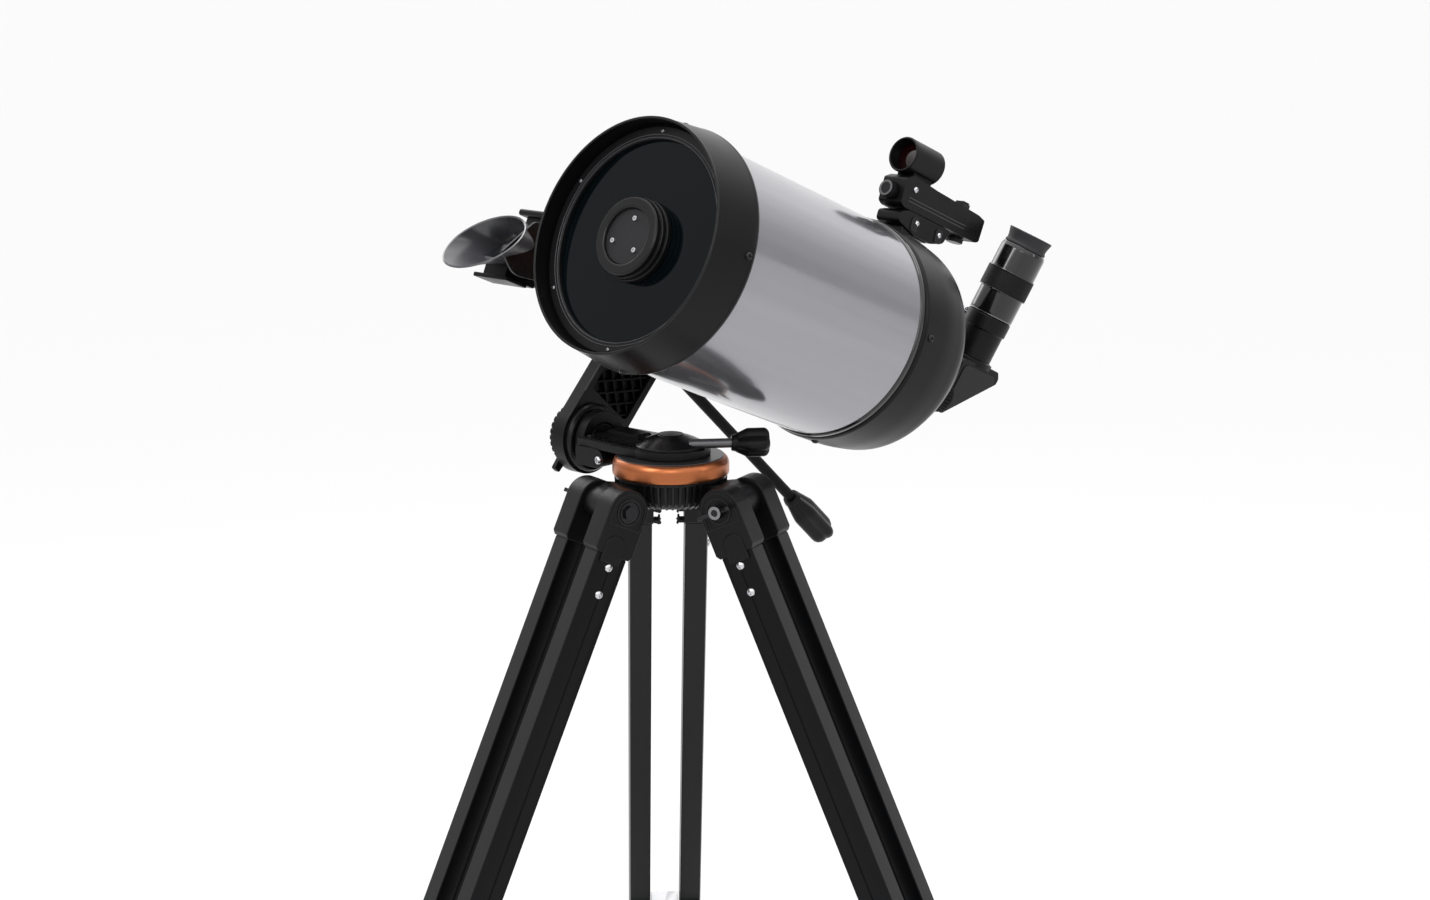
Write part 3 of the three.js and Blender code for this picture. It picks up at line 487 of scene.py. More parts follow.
# ---------------------------------------------------------------- diagonal and eyepiece
def diagonal_and_eyepiece():
    nose = rounded([(0, -72.5), (15.2, -72.5), (15.9, -71.6), (15.9, -48), (18.6, -47.4), (19, -46.6),
                    (19, -33), (17.8, -32), (17.8, -18), (0, -18)], [0] + [0.5] * 8 + [0])
    side = rounded([(-26, -24), (-24, -28), (-20, -28), (26, 11), (26, 16), (22, 21), (-22, 21), (-26, 18)],
                   1.4)
    prism_block = along_x(prism(side, -18, 18))
    place("prism_box", prism_block, DIAGONAL, "diagonal", "plastic", "diagonal_body", bevel=0.8, steps=3)
    plate = [(x * 0.82 - 0.5, z * 0.82 - 0.5) for x, z in side]
    place("prism_sides", along_x(join(prism(plate, -18.7, -17.8), prism(plate, 17.8, 18.7))), DIAGONAL,
          "diagonal", "satin", bevel=0.4)
    place("diagonal_nose", along_y(lathe(nose, 96)), DIAGONAL, "diagonal", "plastic")
    port = rounded([(16.2, 19), (17.6, 19), (17.6, 47), (18.8, 48), (18.8, 59), (18.2, 59.8), (16.2, 59.8)],
                   0.5)
    holder = carve(lathe(port, 96), at(along_x(rod(2.4, -30, -8, 24)), z=SCREW_Z))
    place("eyepiece_socket", holder, DIAGONAL, "diagonal", "plastic")
    base = spun([(0, 18), (20.5, 18), (20.5, 22.6), (17.4, 24), (0, 24)], [0, 0.6, 0.8, 0.6, 0])
    place("socket_base", base, DIAGONAL, "diagonal", "plastic")
    screw = join(rod(2, 16.6, 26, 24), ribbed(4.3, 0.4, 18, 24.2, 30), rod(3.6, 23.8, 30.6, 32))
    place("set_screw", moved(along_x(screw), move(z=SCREW_Z) @ turn("Z", 180)), DIAGONAL, "eyepiece_screw",
          "steel", "eyepiece_screw", bevel=0.15)
    barrel = rounded([(0, 30.5), (13.6, 30.5), (13.6, 31), (15.4, 31), (15.9, 31.8), (15.9, 59.9),
                      (18.2, 60.1), (18.5, 61), (18.8, 62.6), (18.8, 80.6), (19.6, 82), (19.6, 97.5),
                      (19.4, 99), (19.3, 118), (18.2, 121), (15.2, 121.2), (15.2, 124.6), (11.4, 124.8),
                      (9, 121.4), (0, 121)], [0] + [0.6] * 18 + [0])
    place("eyepiece_barrel", lathe(barrel, 96), DIAGONAL, "eyepiece", "gloss", "eyepiece_body", crease=30)
    place("eyepiece_grip", knurled(20.3, 81.4, 98.4, 2.0, 0.5), DIAGONAL, "eyepiece", "plastic")
    bands = [spun([(19, z), (20.4, z), (20.4, z + 0.9), (19, z + 0.9)], 0.3) for z in (80.6, 98.3)]
    place("grip_edges", join(*bands), DIAGONAL, "eyepiece", "gloss")
    place("barrel_line", lathe([(18.4, 60.6), (18.75, 60.6), (18.75, 61.2), (18.4, 61.2)]), DIAGONAL,
          "eyepiece", "dull_steel")
    lens = [(0, 122.3)] + [(10.6 * k / 8, 122.3 - 1.3 * (k / 8) ** 2) for k in range(1, 9)]
    lens += [(10.6, 120.5), (0, 120.5)]
    place("eye_lens", lathe(lens, 64), DIAGONAL, "eyepiece", "glass")
    cup = rounded([(15.7, 121.3), (17.6, 121.3), (17.9, 122.6), (16.9, 124.4), (17.2, 127), (18.7, 132.6),
                   (18.5, 133.5), (17.6, 133.5), (15.7, 127)], 0.6)
    place("eye_cup", lathe(cup, 96), DIAGONAL, "eyepiece", "cup", "eyecup", crease=50)


diagonal_and_eyepiece()


# ---------------------------------------------------------------- red-dot finder
def red_dot_finder():
    dome = along_y(rod(89.75, 190, 300, 128))
    shoe = box(-10, 10, 240, 272, 84, 95)
    keel = rounded([(231, 96), (254, 90.4), (276, 90.4), (291, 95), (295, 104), (295, 107.5), (240, 107.5),
                    (231, 104)], 2.5)
    lower = along_x(prism(keel, -12, 12))
    on_tube("finder_foot", join(carve(lower, dome), carve(shoe, dome)), "plastic", "finder_bracket",
            bevel=0.7)
    clamps = [along_x(prism(rectangle(y, y + 9, 92.8, 104.5, 3), -12.8, 12.8)) for y in (246, 278)]
    on_tube("finder_clamps", join(*clamps), "satin", bevel=0.4)
    side = rounded([(228, 110.5), (233, 108), (330, 108), (334, 110), (335, 128), (326, 130), (268, 132),
                    (236, 134.5), (228, 130)], 1.6)
    body = carve(along_x(prism(side, -11.8, 11.8)), at(along_y(rod(14.6, 200, 300)), z=WINDOW_Z),
                 box(-5.3, 5.3, 306, 326, 127.6, 134))
    on_tube("finder_case", body, "plastic", "finder_body", bevel=1.3, steps=3)
    ledge = prism(rectangle(-8.6, 8.6, 328.5, 333, 1.5), 128.4, 130)
    on_tube("finder_top", join(prism(rectangle(-8.6, 8.6, 278, 303, 3), 129.6, 130.9), ledge), "satin",
            bevel=0.3)
    seams = [along_x(prism(rectangle(236, 329, z, z + 0.7), -12.05, 12.05)) for z in (113.6, 116.4)]
    on_tube("finder_seams", join(*seams), "gloss")
    ring = rounded([(12.6, 229), (13.6, 228.6), (14.4, 229.6), (14.4, 266), (12.6, 266)], 0.4)
    on_tube("finder_window", at(along_y(lathe(ring, 96)), z=WINDOW_Z), "plastic", "finder_tube")
    cradle = carve(box(-8.5, 8.5, 238, 262, 130, 141), at(along_y(rod(14.5, 200, 300)), z=WINDOW_Z))
    on_tube("finder_saddle", cradle, "shade", bevel=0.6, slot="black_plastic")
    lens = [(0, 236.6), (4, 236.9), (9, 238), (12.7, 239.6), (12.7, 241), (0, 241)]
    on_tube("finder_lens", at(along_y(lathe(lens, 64)), z=WINDOW_Z), "red_glass")
    teeth = [box(-4.4, 4.4, y, y + 0.9, 136, 137.3) for y in (312.2, 314.3, 316.4, 318.5)]
    switch = join(box(-4.4, 4.4, 311.2, 320.8, 128, 136), *teeth)
    place("finder_slider", switch, TUBE, "finder_switch", "satin", "finder_switch", bevel=0.3)
    knob = join(ribbed(7.6, 0.5, 24, 220.6, 226.6), rod(6.9, 219.6, 227.4))
    place("finder_front_knob", at(along_y(knob), z=FINDER_KNOB_Z), TUBE, "finder_altitude_knob", "plastic",
          "finder_altitude_knob", bevel=0.2, slot="steel")
    bezel = spun([(4.6, 219.1), (6.3, 219.1), (6.3, 220), (4.6, 220)], 0.3, 48)
    place("finder_knob_ring", at(along_y(bezel), z=FINDER_KNOB_Z), TUBE, "finder_altitude_knob",
          "grey_metal")
    place("finder_knob_hub", at(along_y(rod(4.6, 219.5, 220)), z=FINDER_KNOB_Z), TUBE,
          "finder_altitude_knob", "dark_steel")
    thumb = join(ribbed(7, 0.5, 22, 103.8, 107.2), rod(6.2, 103.4, 107.6))
    place("finder_thumb_disc", at(thumb, y=318), TUBE, "finder_azimuth_knob", "satin",
          "finder_azimuth_knob", bevel=0.2)
    spots = [(241.7, 124.5, 0.9), (252.9, 100.2, 0.8), (282.9, 99.6, 0.8)]
    screws = [aimed(scaled(PHILLIPS, s), (side * (12.4 if z < 110 else 11.6), y, z), (side, 0, 0))
              for side in (1, -1) for y, z, s in spots]
    on_tube("finder_screws", join(*screws), "steel")


red_dot_finder()

# ---------------------------------------------------------------- phone dock
NEAR, FAR = -151.9, -207.9
DOCK_X = (NEAR + FAR) / 2


def hood():
    """A trumpet over the dock's mirror: a round mouth that looks forward and up, narrowing to the bed."""
    around, rows, lean = 72, 16, radians(52)
    mouth, mouth_y, mouth_z, back, back_y, back_z = 34.5, -10.0, -13.0, (25.5, 14.5), 46.0, -5.5
    points, faces = [], []
    for inset in (0.0, 1.8):
        for j in range(rows + 1):
            t = j / rows
            narrow = 1 - (1 - t) ** 1.9
            for k in range(around):
                a = tau * k / around
                wide, low = cos(a), sin(a)
                x = ((mouth - inset) * (1 - narrow) + (back[0] - inset) * narrow) * wide
                y0 = mouth_y - mouth * low * cos(lean)
                z0 = mouth_z - (mouth - inset) * low * sin(lean)
                z1 = back_z - (back[1] - inset) * low
                points.append((DOCK_X + x + 3.0 * (1 - t), y0 + (back_y - y0) * t, z0 + (z1 - z0) * narrow))
    layer = (rows + 1) * around
    for j in range(rows):
        for k in range(around):
            m, a, b = (k + 1) % around, j * around, (j + 1) * around
            faces.append([a + k, a + m, b + m, b + k])
            faces.append([layer + a + k, layer + b + k, layer + b + m, layer + a + m])
    for edge in (0, rows * around):
        for k in range(around):
            m = (k + 1) % around
            faces.append([edge + k, layer + edge + k, layer + edge + m, edge + m])
    return points, faces


def phone_dock():
    web = rounded([(128, -16), (162, -16), (162, 5.7), (60, 5.7), (60, -6), (104, -10)], 3)
    window = [rounded([(70, 1), (98, 1), (98, -6), (70, -4)], 2),
              rounded([(106, 1), (124, 1), (124, -8), (106, -7.5)], 2)]
    arm = carve(along_x(prism(web, NEAR - 6, NEAR + 2.6)),
                *[along_x(prism(w, NEAR - 2, NEAR + 9)) for w in window])
    hub = at(along_x(spun([(0, -149.5), (14, -149.5), (16, -147.5), (16, -142.7), (0, -142.7)],
                          [0, 1, 1, 0.6, 0])), y=ALTITUDE_STATION)
    on_tube("dock_bracket", join(arm, hub), "plastic", "dock_arm", bevel=0.7)
    opening = box(FAR + 20, NEAR - 20, 120, 170, 0, 30)
    bed = carve(prism(rectangle(FAR, NEAR + 2, 44, 186, 8), 6, 10), opening)
    ribs = [box(x - 0.8, x + 0.8, 50, 180, 2.6, 6.2) for x in (FAR + 6, NEAR - 4)]
    ribs += [box(FAR + 6, NEAR - 4, y - 0.8, y + 0.8, 3, 6.2) for y in (50, 74, 112, 176)]
    lip = box(FAR, FAR + 4, 64, 176, 8, 20)
    bar = prism(rounded([(-5.5, -2.6), (5.5, -2.6), (5.5, 2.6), (-5.5, 2.6)], 2.4), FAR + 4, NEAR + 1)
    bar = at(along_x(bar), y=44.5, z=24.2)
    barweb = box(FAR + 9, NEAR - 9, 44.5, 49, 9, 23)
    on_tube("dock_bed", join(bed, *ribs, lip, bar, barweb), "plastic", "dock_platform", bevel=0.8)
    grips = [box(FAR + 4, FAR + 5, 68 + 8 * k, 72 + 8 * k, 11, 18.5) for k in range(13)]
    pad = prism(rectangle(FAR + 8, NEAR - 4, 58, 112, 4), 9.9, 10.8)
    on_tube("dock_pad", join(pad, *grips), "rubber", bevel=0.2)
    # The hood is lightened above black plastic: painted light on its inside, which lies in shade.
    on_tube("dock_hood", hood(), "scoop", "mirror_hood", crease=45)
    under = join(box(DOCK_X - 20, DOCK_X + 19, 8, 30, -37, -33.6),
                 box(DOCK_X - 14, DOCK_X + 12, 12, 44, -34, -20),
                 box(DOCK_X - 3, DOCK_X + 3, 26, 62, -31, -26),
                 box(DOCK_X - 3, DOCK_X + 3, 56, 62, -28, 6.5))
    cheek = along_x(prism(rounded([(-13, -19), (11, 12), (47, 12), (47, -28), (4, -33)], [1, 3, 1, 3, 8]),
                          NEAR - 0.3, NEAR + 2))
    on_tube("dock_cheek", cheek, "satin", bevel=0.7)
    on_tube("dock_underside", under, "plastic", bevel=0.8)
    mirror = moved(box(FAR + 12, NEAR - 12, -19, 19, -1.5, 1.5), turn("X", 42))
    on_tube("dock_mirror_plate", at(mirror, y=24, z=-9), "mirror", "dock_mirror", bevel=0.3)
    foot = box(FAR + 21, NEAR - 21, 124, 146, -2, 10.3)
    jaw = along_y(prism(rectangle(FAR + 10, NEAR - 6, 10.3, 25, 3), 136, 142))
    place("phone_jaw", join(foot, jaw), TUBE, "phone_clamp", "plastic", "phone_clamp", bevel=0.9)
    place("jaw_pad", along_y(prism(rectangle(FAR + 12, NEAR - 8, 11.5, 23.5, 2), 135.2, 136)), TUBE,
          "phone_clamp", "rubber")
    knob = join(prism(lobed(10, 1.6, 6), -21.5, -12.5), rod(7.5, -22, -12), rod(3, -14, 5.6))
    place("dock_thumbscrew", at(knob, DOCK_X, 86), TUBE, "dock_knob", "plastic", "dock_knob", bevel=0.8)
    screws = [aimed(scaled(PHILLIPS, 0.8), (NEAR + 2.6, y, z), (1, 0, 0))
              for y, z in ((66, -1), (100, -4.5), (156, -10))]
    on_tube("dock_screws", join(*screws), "steel")


phone_dock()


# ---------------------------------------------------------------- saddle and dovetail
def saddle():
    floor, top, face, half = -115.6, -95.9, -101.9, 29
    outline = [(floor, -half), (floor, half), (top, half), (top, 20.2), (face - 1, 23.4), (face - 1, -23.4),
               (top, -20.2), (top, -half)]
    channel = along_y(prism(rounded(outline, [1.5, 1.5, 1.5, 0.8, 0.3, 0.3, 0.8, 1.5]), 104.5, 184.5))
    x = (face + top) / 2 - 5
    on_tube("saddle_channel", carve(channel, at(rod(3.4, 15, 40, 24), x, ALTITUDE_STATION)), "casting",
            "saddle", bevel=0.5)
    core = lathe([(0, 33.2), (8.5, 33.2), (10, 34.5), (10, 46), (9, 47), (0, 47)])
    knob = join(prism(lobed(13, 2.4, 6), 34, 46.4), core, rod(3, 24.5, 36, 24))
    place("saddle_thumbscrew", at(knob, x, ALTITUDE_STATION), TUBE, "saddle_knob", "plastic", "saddle_knob",
          bevel=0.9)
    bar = along_y(prism(rounded([(face - 0.7, -22), (face + 10, -17.5), (face + 10, 17.5),
                                 (face - 0.7, 22)], 0.6), 4, 199.5))
    groove = along_y(prism([(face - 2, -6), (face + 1.2, -5), (face + 1.2, 5), (face - 2, 6)], 0, 210))
    pads = carve(join(box(-93.9, -80, 8, 38, -16, 16)), along_y(rod(87.25, -20, 300, 128)))
    on_tube("dovetail", join(carve(bar, groove), pads, at(pads, y=155.5)), "copper", "dovetail_bar",
            bevel=0.4)
    screws = [aimed(SOCKET_HEAD, (face + 1.0, y, 0), (-1, 0, 0)) for y in (22, 182)]
    on_tube("dovetail_screws", join(*screws), "steel")
    shaft = spun([(0, -142.4), (10, -142.4), (10, -134), (41.4, -134), (41.4, -125), (10, -125),
                  (10, -115.9), (0, -115.9)], [0, 0.5, 0.2, 0.4, 0.4, 0.2, 0.5, 0])
    on_tube("altitude_gear", at(along_x(shaft), y=ALTITUDE_STATION), "grey_metal", "altitude_wheel")


saddle()


# ---------------------------------------------------------------- arm, yoke and controls
def arm():
    half, case, inner, outer = 28.8, 52.0, -88.0, -100.0
    side = arc(0, 0, half, 180, 360, 32) + [(half, 95)]
    side += arc(0, ARM_LENGTH, case, -50, 230, 56) + [(-half, 95)]
    plate = along_x(prism(side, outer, inner))
    drum = at(along_x(lathe([(44, -106), (case, -106), (case, outer + 1), (44, outer + 1)])), z=ARM_LENGTH)
    pocket = along_x(prism(rectangle(-23, 23, 30, 80, 5), inner - 5.5, inner + 2))
    hollow = at(along_x(rod(47, -108, -93)), z=ARM_LENGTH)
    bore = at(along_x(rod(10.4, -120, -70)), z=ARM_LENGTH)
    body = carve(plate, pocket, hollow, bore, along_x(rod(6.3, -120, -70)),
                 at(along_y(rod(6.6, -24, 60)), x=WORM_X, z=WORM_Z))
    place("arm_plate", join(body, drum), ARM, "arm", "casting", "mount_arm", bevel=1.0, crease=32)
    inside = along_x(prism(rectangle(-23.5, 23.5, 29.5, 80.5, 5), inner - 7, inner - 0.6))
    ribs = []
    for tilt in (38, -38):
        for k in range(-1, 6):
            ribs.append(at(moved(box(inner - 6, inner - 1.6, -44, 44, -0.8, 0.8), turn("X", tilt)),
                           z=30 + 12 * k))
    lattice = join(*[carve(r, inside, operation="INTERSECT") for r in ribs])
    place("arm_ribs", lattice, ARM, "arm", "shade", bevel=0.3)
    place("arm_edge", box(inner - 0.6, inner + 0.35, -half - 0.3, -half + 0.7, 24, 92), ARM, "arm", "edge",
          bevel=0.25)
    rim = rounded([(19.5, inner - 1), (26.5, inner - 1), (26.5, inner + 3.2), (24.8, inner + 5.2),
                   (22, inner + 5.4), (20.6, inner + 3.6), (19.5, inner + 3.6)], 0.7)
    place("pivot_ring", along_x(lathe(rim, 96)), ARM, "arm", "satin", crease=30, slot="black_casting")
    place("pivot_face", along_x(tube(6.4, 19.8, inner - 1, inner + 3)), ARM, "arm", "casting")
    bolt = rounded([(0, -105), (6, -105), (6, -77), (13, -77), (13, -74.2), (12, -73.3), (0, -73.3)],
                   [0, 0.4, 0.3, 0.4, 0.6, 0.6, 0])
    place("pivot_cap", along_x(lathe(bolt, 64)), ARM, "arm", "plastic", "pivot_bolt")
    lid = [(0, -109.6), (46, -109.6), (51.4, -108.2), (52, -106.3), (0, -106.3)]
    cover = carve(at(along_x(spun(lid, [0, 2, 1.2, 0.3, 0], 128)), z=ARM_LENGTH), bore)
    place("gear_lid", cover, ARM, "arm", "plastic", "gear_cover", crease=25)
    place("gear_lid_groove", at(along_x(tube(33, 34, -109.9, -109)), z=ARM_LENGTH), ARM, "arm", "satin")
    lid_screws = [aimed(PHILLIPS, (-109.4, 40 * cos(a), ARM_LENGTH + 40 * sin(a)), (-1, 0, 0))
                  for a in [radians(45 + 90 * k) for k in range(4)]]
    place("gear_lid_screws", join(*lid_screws), ARM, "arm", "steel")
    worm = at(along_y(spun([(5, -23), (6.8, -23), (6.8, -8), (5, -8)], 0.5, 48)), x=WORM_X, z=WORM_Z)
    place("worm_sleeve", worm, ARM, "arm", "grey_metal")

    knob = join(along_x(ribbed(23.6, 0.9, 28, -109, -100.8)),
                along_x(spun([(6.5, -109.6), (19, -109.6), (21, -108), (21, -101), (6.5, -101)], 0.8)))
    lever = along_x(prism(rounded([(-4, -20), (4, -20), (3, -34), (-3, -34)], 1.5), -106, -102))
    place("arm_knob_rim", join(knob, lever), ARM, "arm_knob", "plastic", "arm_pivot_knob", bevel=0.5)


arm()


def yoke():
    outline = [(-74, -27), (-20, -30)] + arc(0, 0, 30, -110, 110, 40) + [(-20, 28), (-74, 25)]
    plate = carve(prism(outline, 3.5, 9.5), rod(9.4, 0, 30))
    cheek = at(along_x(rod(22, -82, -73, 64)), z=PIVOT_HEIGHT)
    bores = [at(along_x(rod(r, x, -72)), z=PIVOT_HEIGHT) for r, x in ((6.4, -90), (13.3, -77.3))]
    cheek = carve(cheek, *bores, box(-90, -40, -40, 40, -30, -10.8))
    bar = along_y(prism(rounded([(-64, 8.5), (-27, 8.5), (-29, 14.2), (-62, 14.2)], 1.6), -7, 8))
    block = along_y(prism(rounded([(-74, 4), (-74, -8), (-71, -10.8), (-49, -10.8), (-43.5, -7),
            (-43.5, -2), (-48, 4)], 3.5), -29, -16))
    web = along_x(prism(rounded([(-24, 4), (22, 4), (15, -10.5), (-18, -10.5)], 3), -80, -68))
    place("yoke_plate", join(plate, cheek, bar, block, web), MOUNT, "yoke", "casting", "azimuth_yoke",
          bevel=1.0, crease=32)
    place("yoke_rim", carve(prism([(x * 0.955 - 1.2, y * 0.94) for x, y in outline], 9.3, 10.1),
                            rod(27.4, 0, 30)), MOUNT, "yoke", "satin", bevel=0.3, slot="black_casting")
    place("tab_screw", aimed(scaled(PHILLIPS, 1.15), (-48.5, -29, -4.4), (0, -1, 0)), MOUNT, "yoke",
          "steel")
    screws = [aimed(scaled(SOCKET_HEAD, 0.9), (-67, y, 9.4), (0, 0, 1)) for y in (19, -20)]
    place("yoke_screws", join(*screws), MOUNT, "yoke", "dark_steel", slot="steel")
    lid = 9.8
    radii = [0.2, 0.3, 1, 2, 3, 3, 1, 0.6, 0, 0, 0.2]
    shell = rounded([(9.6, lid), (26.6, lid), (26.8, lid + 1.2), (24.6, 12.2), (18.5, 15.3), (13, 17.4),
                     (10.4, 18.1), (9.6, 18.9), (0, 19), (0, 17), (9.6, 16.4)], radii)
    place("dome", lathe(shell, 128), MOUNT, "yoke", "satin", "azimuth_dome", crease=35,
          slot="black_casting")


yoke()


def control(name, base, body, start, end, grip, rod_r, paddle, finish_name, hides):
    """A slow-motion control: a long rod with a grip at its far end."""
    shaft = [(0, start), (rod_r * 0.8, start), (rod_r, start + 3), (rod_r, end + 4), (0, end + 4)]
    place(f"{name}_rod", along_y(lathe(shaft, 40)), base, body, finish_name, hides)
    collar = rounded([(0, end - 3), (rod_r + 2.2, end - 3), (rod_r + 3.4, end + 1.5), (0, end + 1.5)],
                     [0, 0.6, 0.6, 0])
    place(f"{name}_collar", along_y(lathe(collar, 48)), base, body, "plastic")
    rows, around, points = 18, 72, []
    for j in range(rows + 1):
        t = j / rows
        swell = min(1.0, 0.62 + 1.1 * t) * (1 - max(0.0, (t - 0.86) / 0.14) ** 2 * 0.3)
        for k in range(around):
            a = tau * k / around
            wave = 0.5 + 0.5 * cos(paddle * a)
            r = grip[1] * swell * (0.72 + 0.28 * wave ** 0.8)
            points.append((r * cos(a), r * sin(a), end + grip[0] * t))
    place(f"{name}_grip", along_y(stacked(points, rows, around)), base, body, "plastic", bevel=0.8, steps=3,
          crease=50)


control("azimuth_control", DRIVE, "azimuth_control", 12, 47, (25.5, 11.0), 3.6, 4, "grey_metal",
        "azimuth_control")
control("altitude_control", ARM @ move(x=WORM_X, z=WORM_Z), "altitude_control",
        -22, 238, (57, 12.4), 4.6, 4, "rubber", "altitude_control")


# ---------------------------------------------------------------- tripod head
def tripod_head():
    disc = spun([(9.4, -11.3), (43.2, -11.3), (44, -10.2), (44, -1.8), (42.2, 1.4), (40.6, 2.4),
                 (9.4, 2.4)], [0.2, 0.8, 1.2, 2.4, 1.4, 1, 0.2], 160)
    place("collar_disc", disc, HEAD, "tripod_head", "copper", "collar", crease=25)
    place("collar_top", lathe([(9.4, 1.6), (40.2, 1.6), (40.2, 3.1), (9.4, 3.1)], 128), HEAD, "tripod_head",
          "edge", bevel=0.4, slot="steel")
    body = spun([(24, -33), (30, -33), (38.4, -27.5), (39, -25), (39, -12.6), (37.8, -11.6), (0, -11.6),
                 (0, -24), (20, -24)], [0.5, 1, 2, 1.5, 0.6, 0.6, 0, 0, 2], 128)
    lugs, ribs = [], []
    for i in range(3):
        ear = [(20, -19), (50, -13.5)] + arc(PIVOT_REACH, PIVOT_DROP, 13, 90, -90, 20) + [(30, -37)]
        lug = along_y(prism(ear, -11.5, 11.5))
        slot = along_y(prism(rounded([(33, -29), (43, -23), (43, -40), (33, -40)], 2), -8, 8))
        lugs.append(moved(carve(lug, at(along_y(rod(4.2, -20, 20)), x=PIVOT_REACH, z=PIVOT_DROP), slot),
                          turn("Z", 90 + 120 * i)))
        for k in range(9):
            fin = along_y(prism([(36, -12.6), (42.6, -12.6), (42.2, -20), (39.6, -29), (34, -32.6)], -1, 1))
            ribs.append(moved(fin, turn("Z", 90 + 120 * i + 30 + 7.5 * k)))
    place("hub_body", join(body, rod(9, -20, 15.6), *lugs), HEAD, "tripod_head", "casting", "tripod_hub",
          bevel=0.8, crease=34)
    place("hub_ribs", join(*ribs), HEAD, "tripod_head", "satin", bevel=0.4)
    place("hub_band", spun([(38.5, -13.6), (42, -13.6), (42, -11.7), (38.5, -11.7)], 0.4, 128), HEAD,
          "tripod_head", "satin")


tripod_head()


# ---------------------------------------------------------------- tripod legs
def rail_section(side):
    """A leg rail's outline: bowed and grooved on its broad outer side."""
    outer = [(13, 30.2), (9, 30.9), (5.2, 31.3), (1.6, 31.4), (1.3, 30.3), (-1.3, 30.3), (-1.6, 31.4),
             (-5.2, 31.3), (-9, 30.9), (-13, 30.2)]
    inner = [(-13, 12.9), (-1.4, 12.9), (-1.2, 14), (1.2, 14), (1.4, 12.9), (13, 12.9)]
    return [(x, y * side) for x, y in outer + inner]


def cap(side):
    y0, y1 = (11.8, 32.2) if side > 0 else (-32.2, -11.8)
    outline = arc(0, 0, 16.5, 0, 180, 28) + [(-16.5, -31), (-14, -34), (14, -34), (16.5, -31)]
    body = along_y(prism(outline, y0, y1))
    face = y1 if side > 0 else y0
    ring = at(along_y(tube(8.6, 10.2, 0, 0.9, 48)), y=face - (0.2 if side > 0 else 0.7))
    tongue = along_y(prism(arc(1.5, -27, 8.5, 0, 180, 24) + [(-7, -40), (10, -40)],
                           *sorted((face - 2.5 * side, face + 0.9 * side))))
    rim = along_y(prism(arc(0, 0, 14.2, 0, 180, 28) + [(-14.2, -12), (14.2, -12)], face - 0.2 * side,
                        face + 0.5 * side))
    rim = carve(rim, along_y(prism(arc(0, 0, 13.2, 0, 180, 28) + [(-13.2, -11), (13.2, -11)], face - 3,
            face + 3)))
    hook = [box(-15.5, -10.5, *sorted((side * 6.6, side * 12.4)), z, z + 3.6) for z in (-21, -32)]
    hook += [box(-15.5, -10.5, *sorted((side * 6.6, side * 8.4)), z, z + 6) for z in (-21, -32)]
    return join(body, tongue), join(ring, rim), join(*hook)


BOLT_SEAT = 32.6
BLADE = [(3, 0.6), (3, 5.6), (12.4, 10.6), (14, 8.2), (12.4, 4.6), (6, 0.6)]
WING = join(lathe([(0, 0), (5.2, 0), (5.2, 3.4), (4.4, 6.4), (0, 6.4)], 32),
            *[along_y(prism(rounded([(side * x, z) for x, z in BLADE], 2), -1.5, 1.5)) for side in (1, -1)])


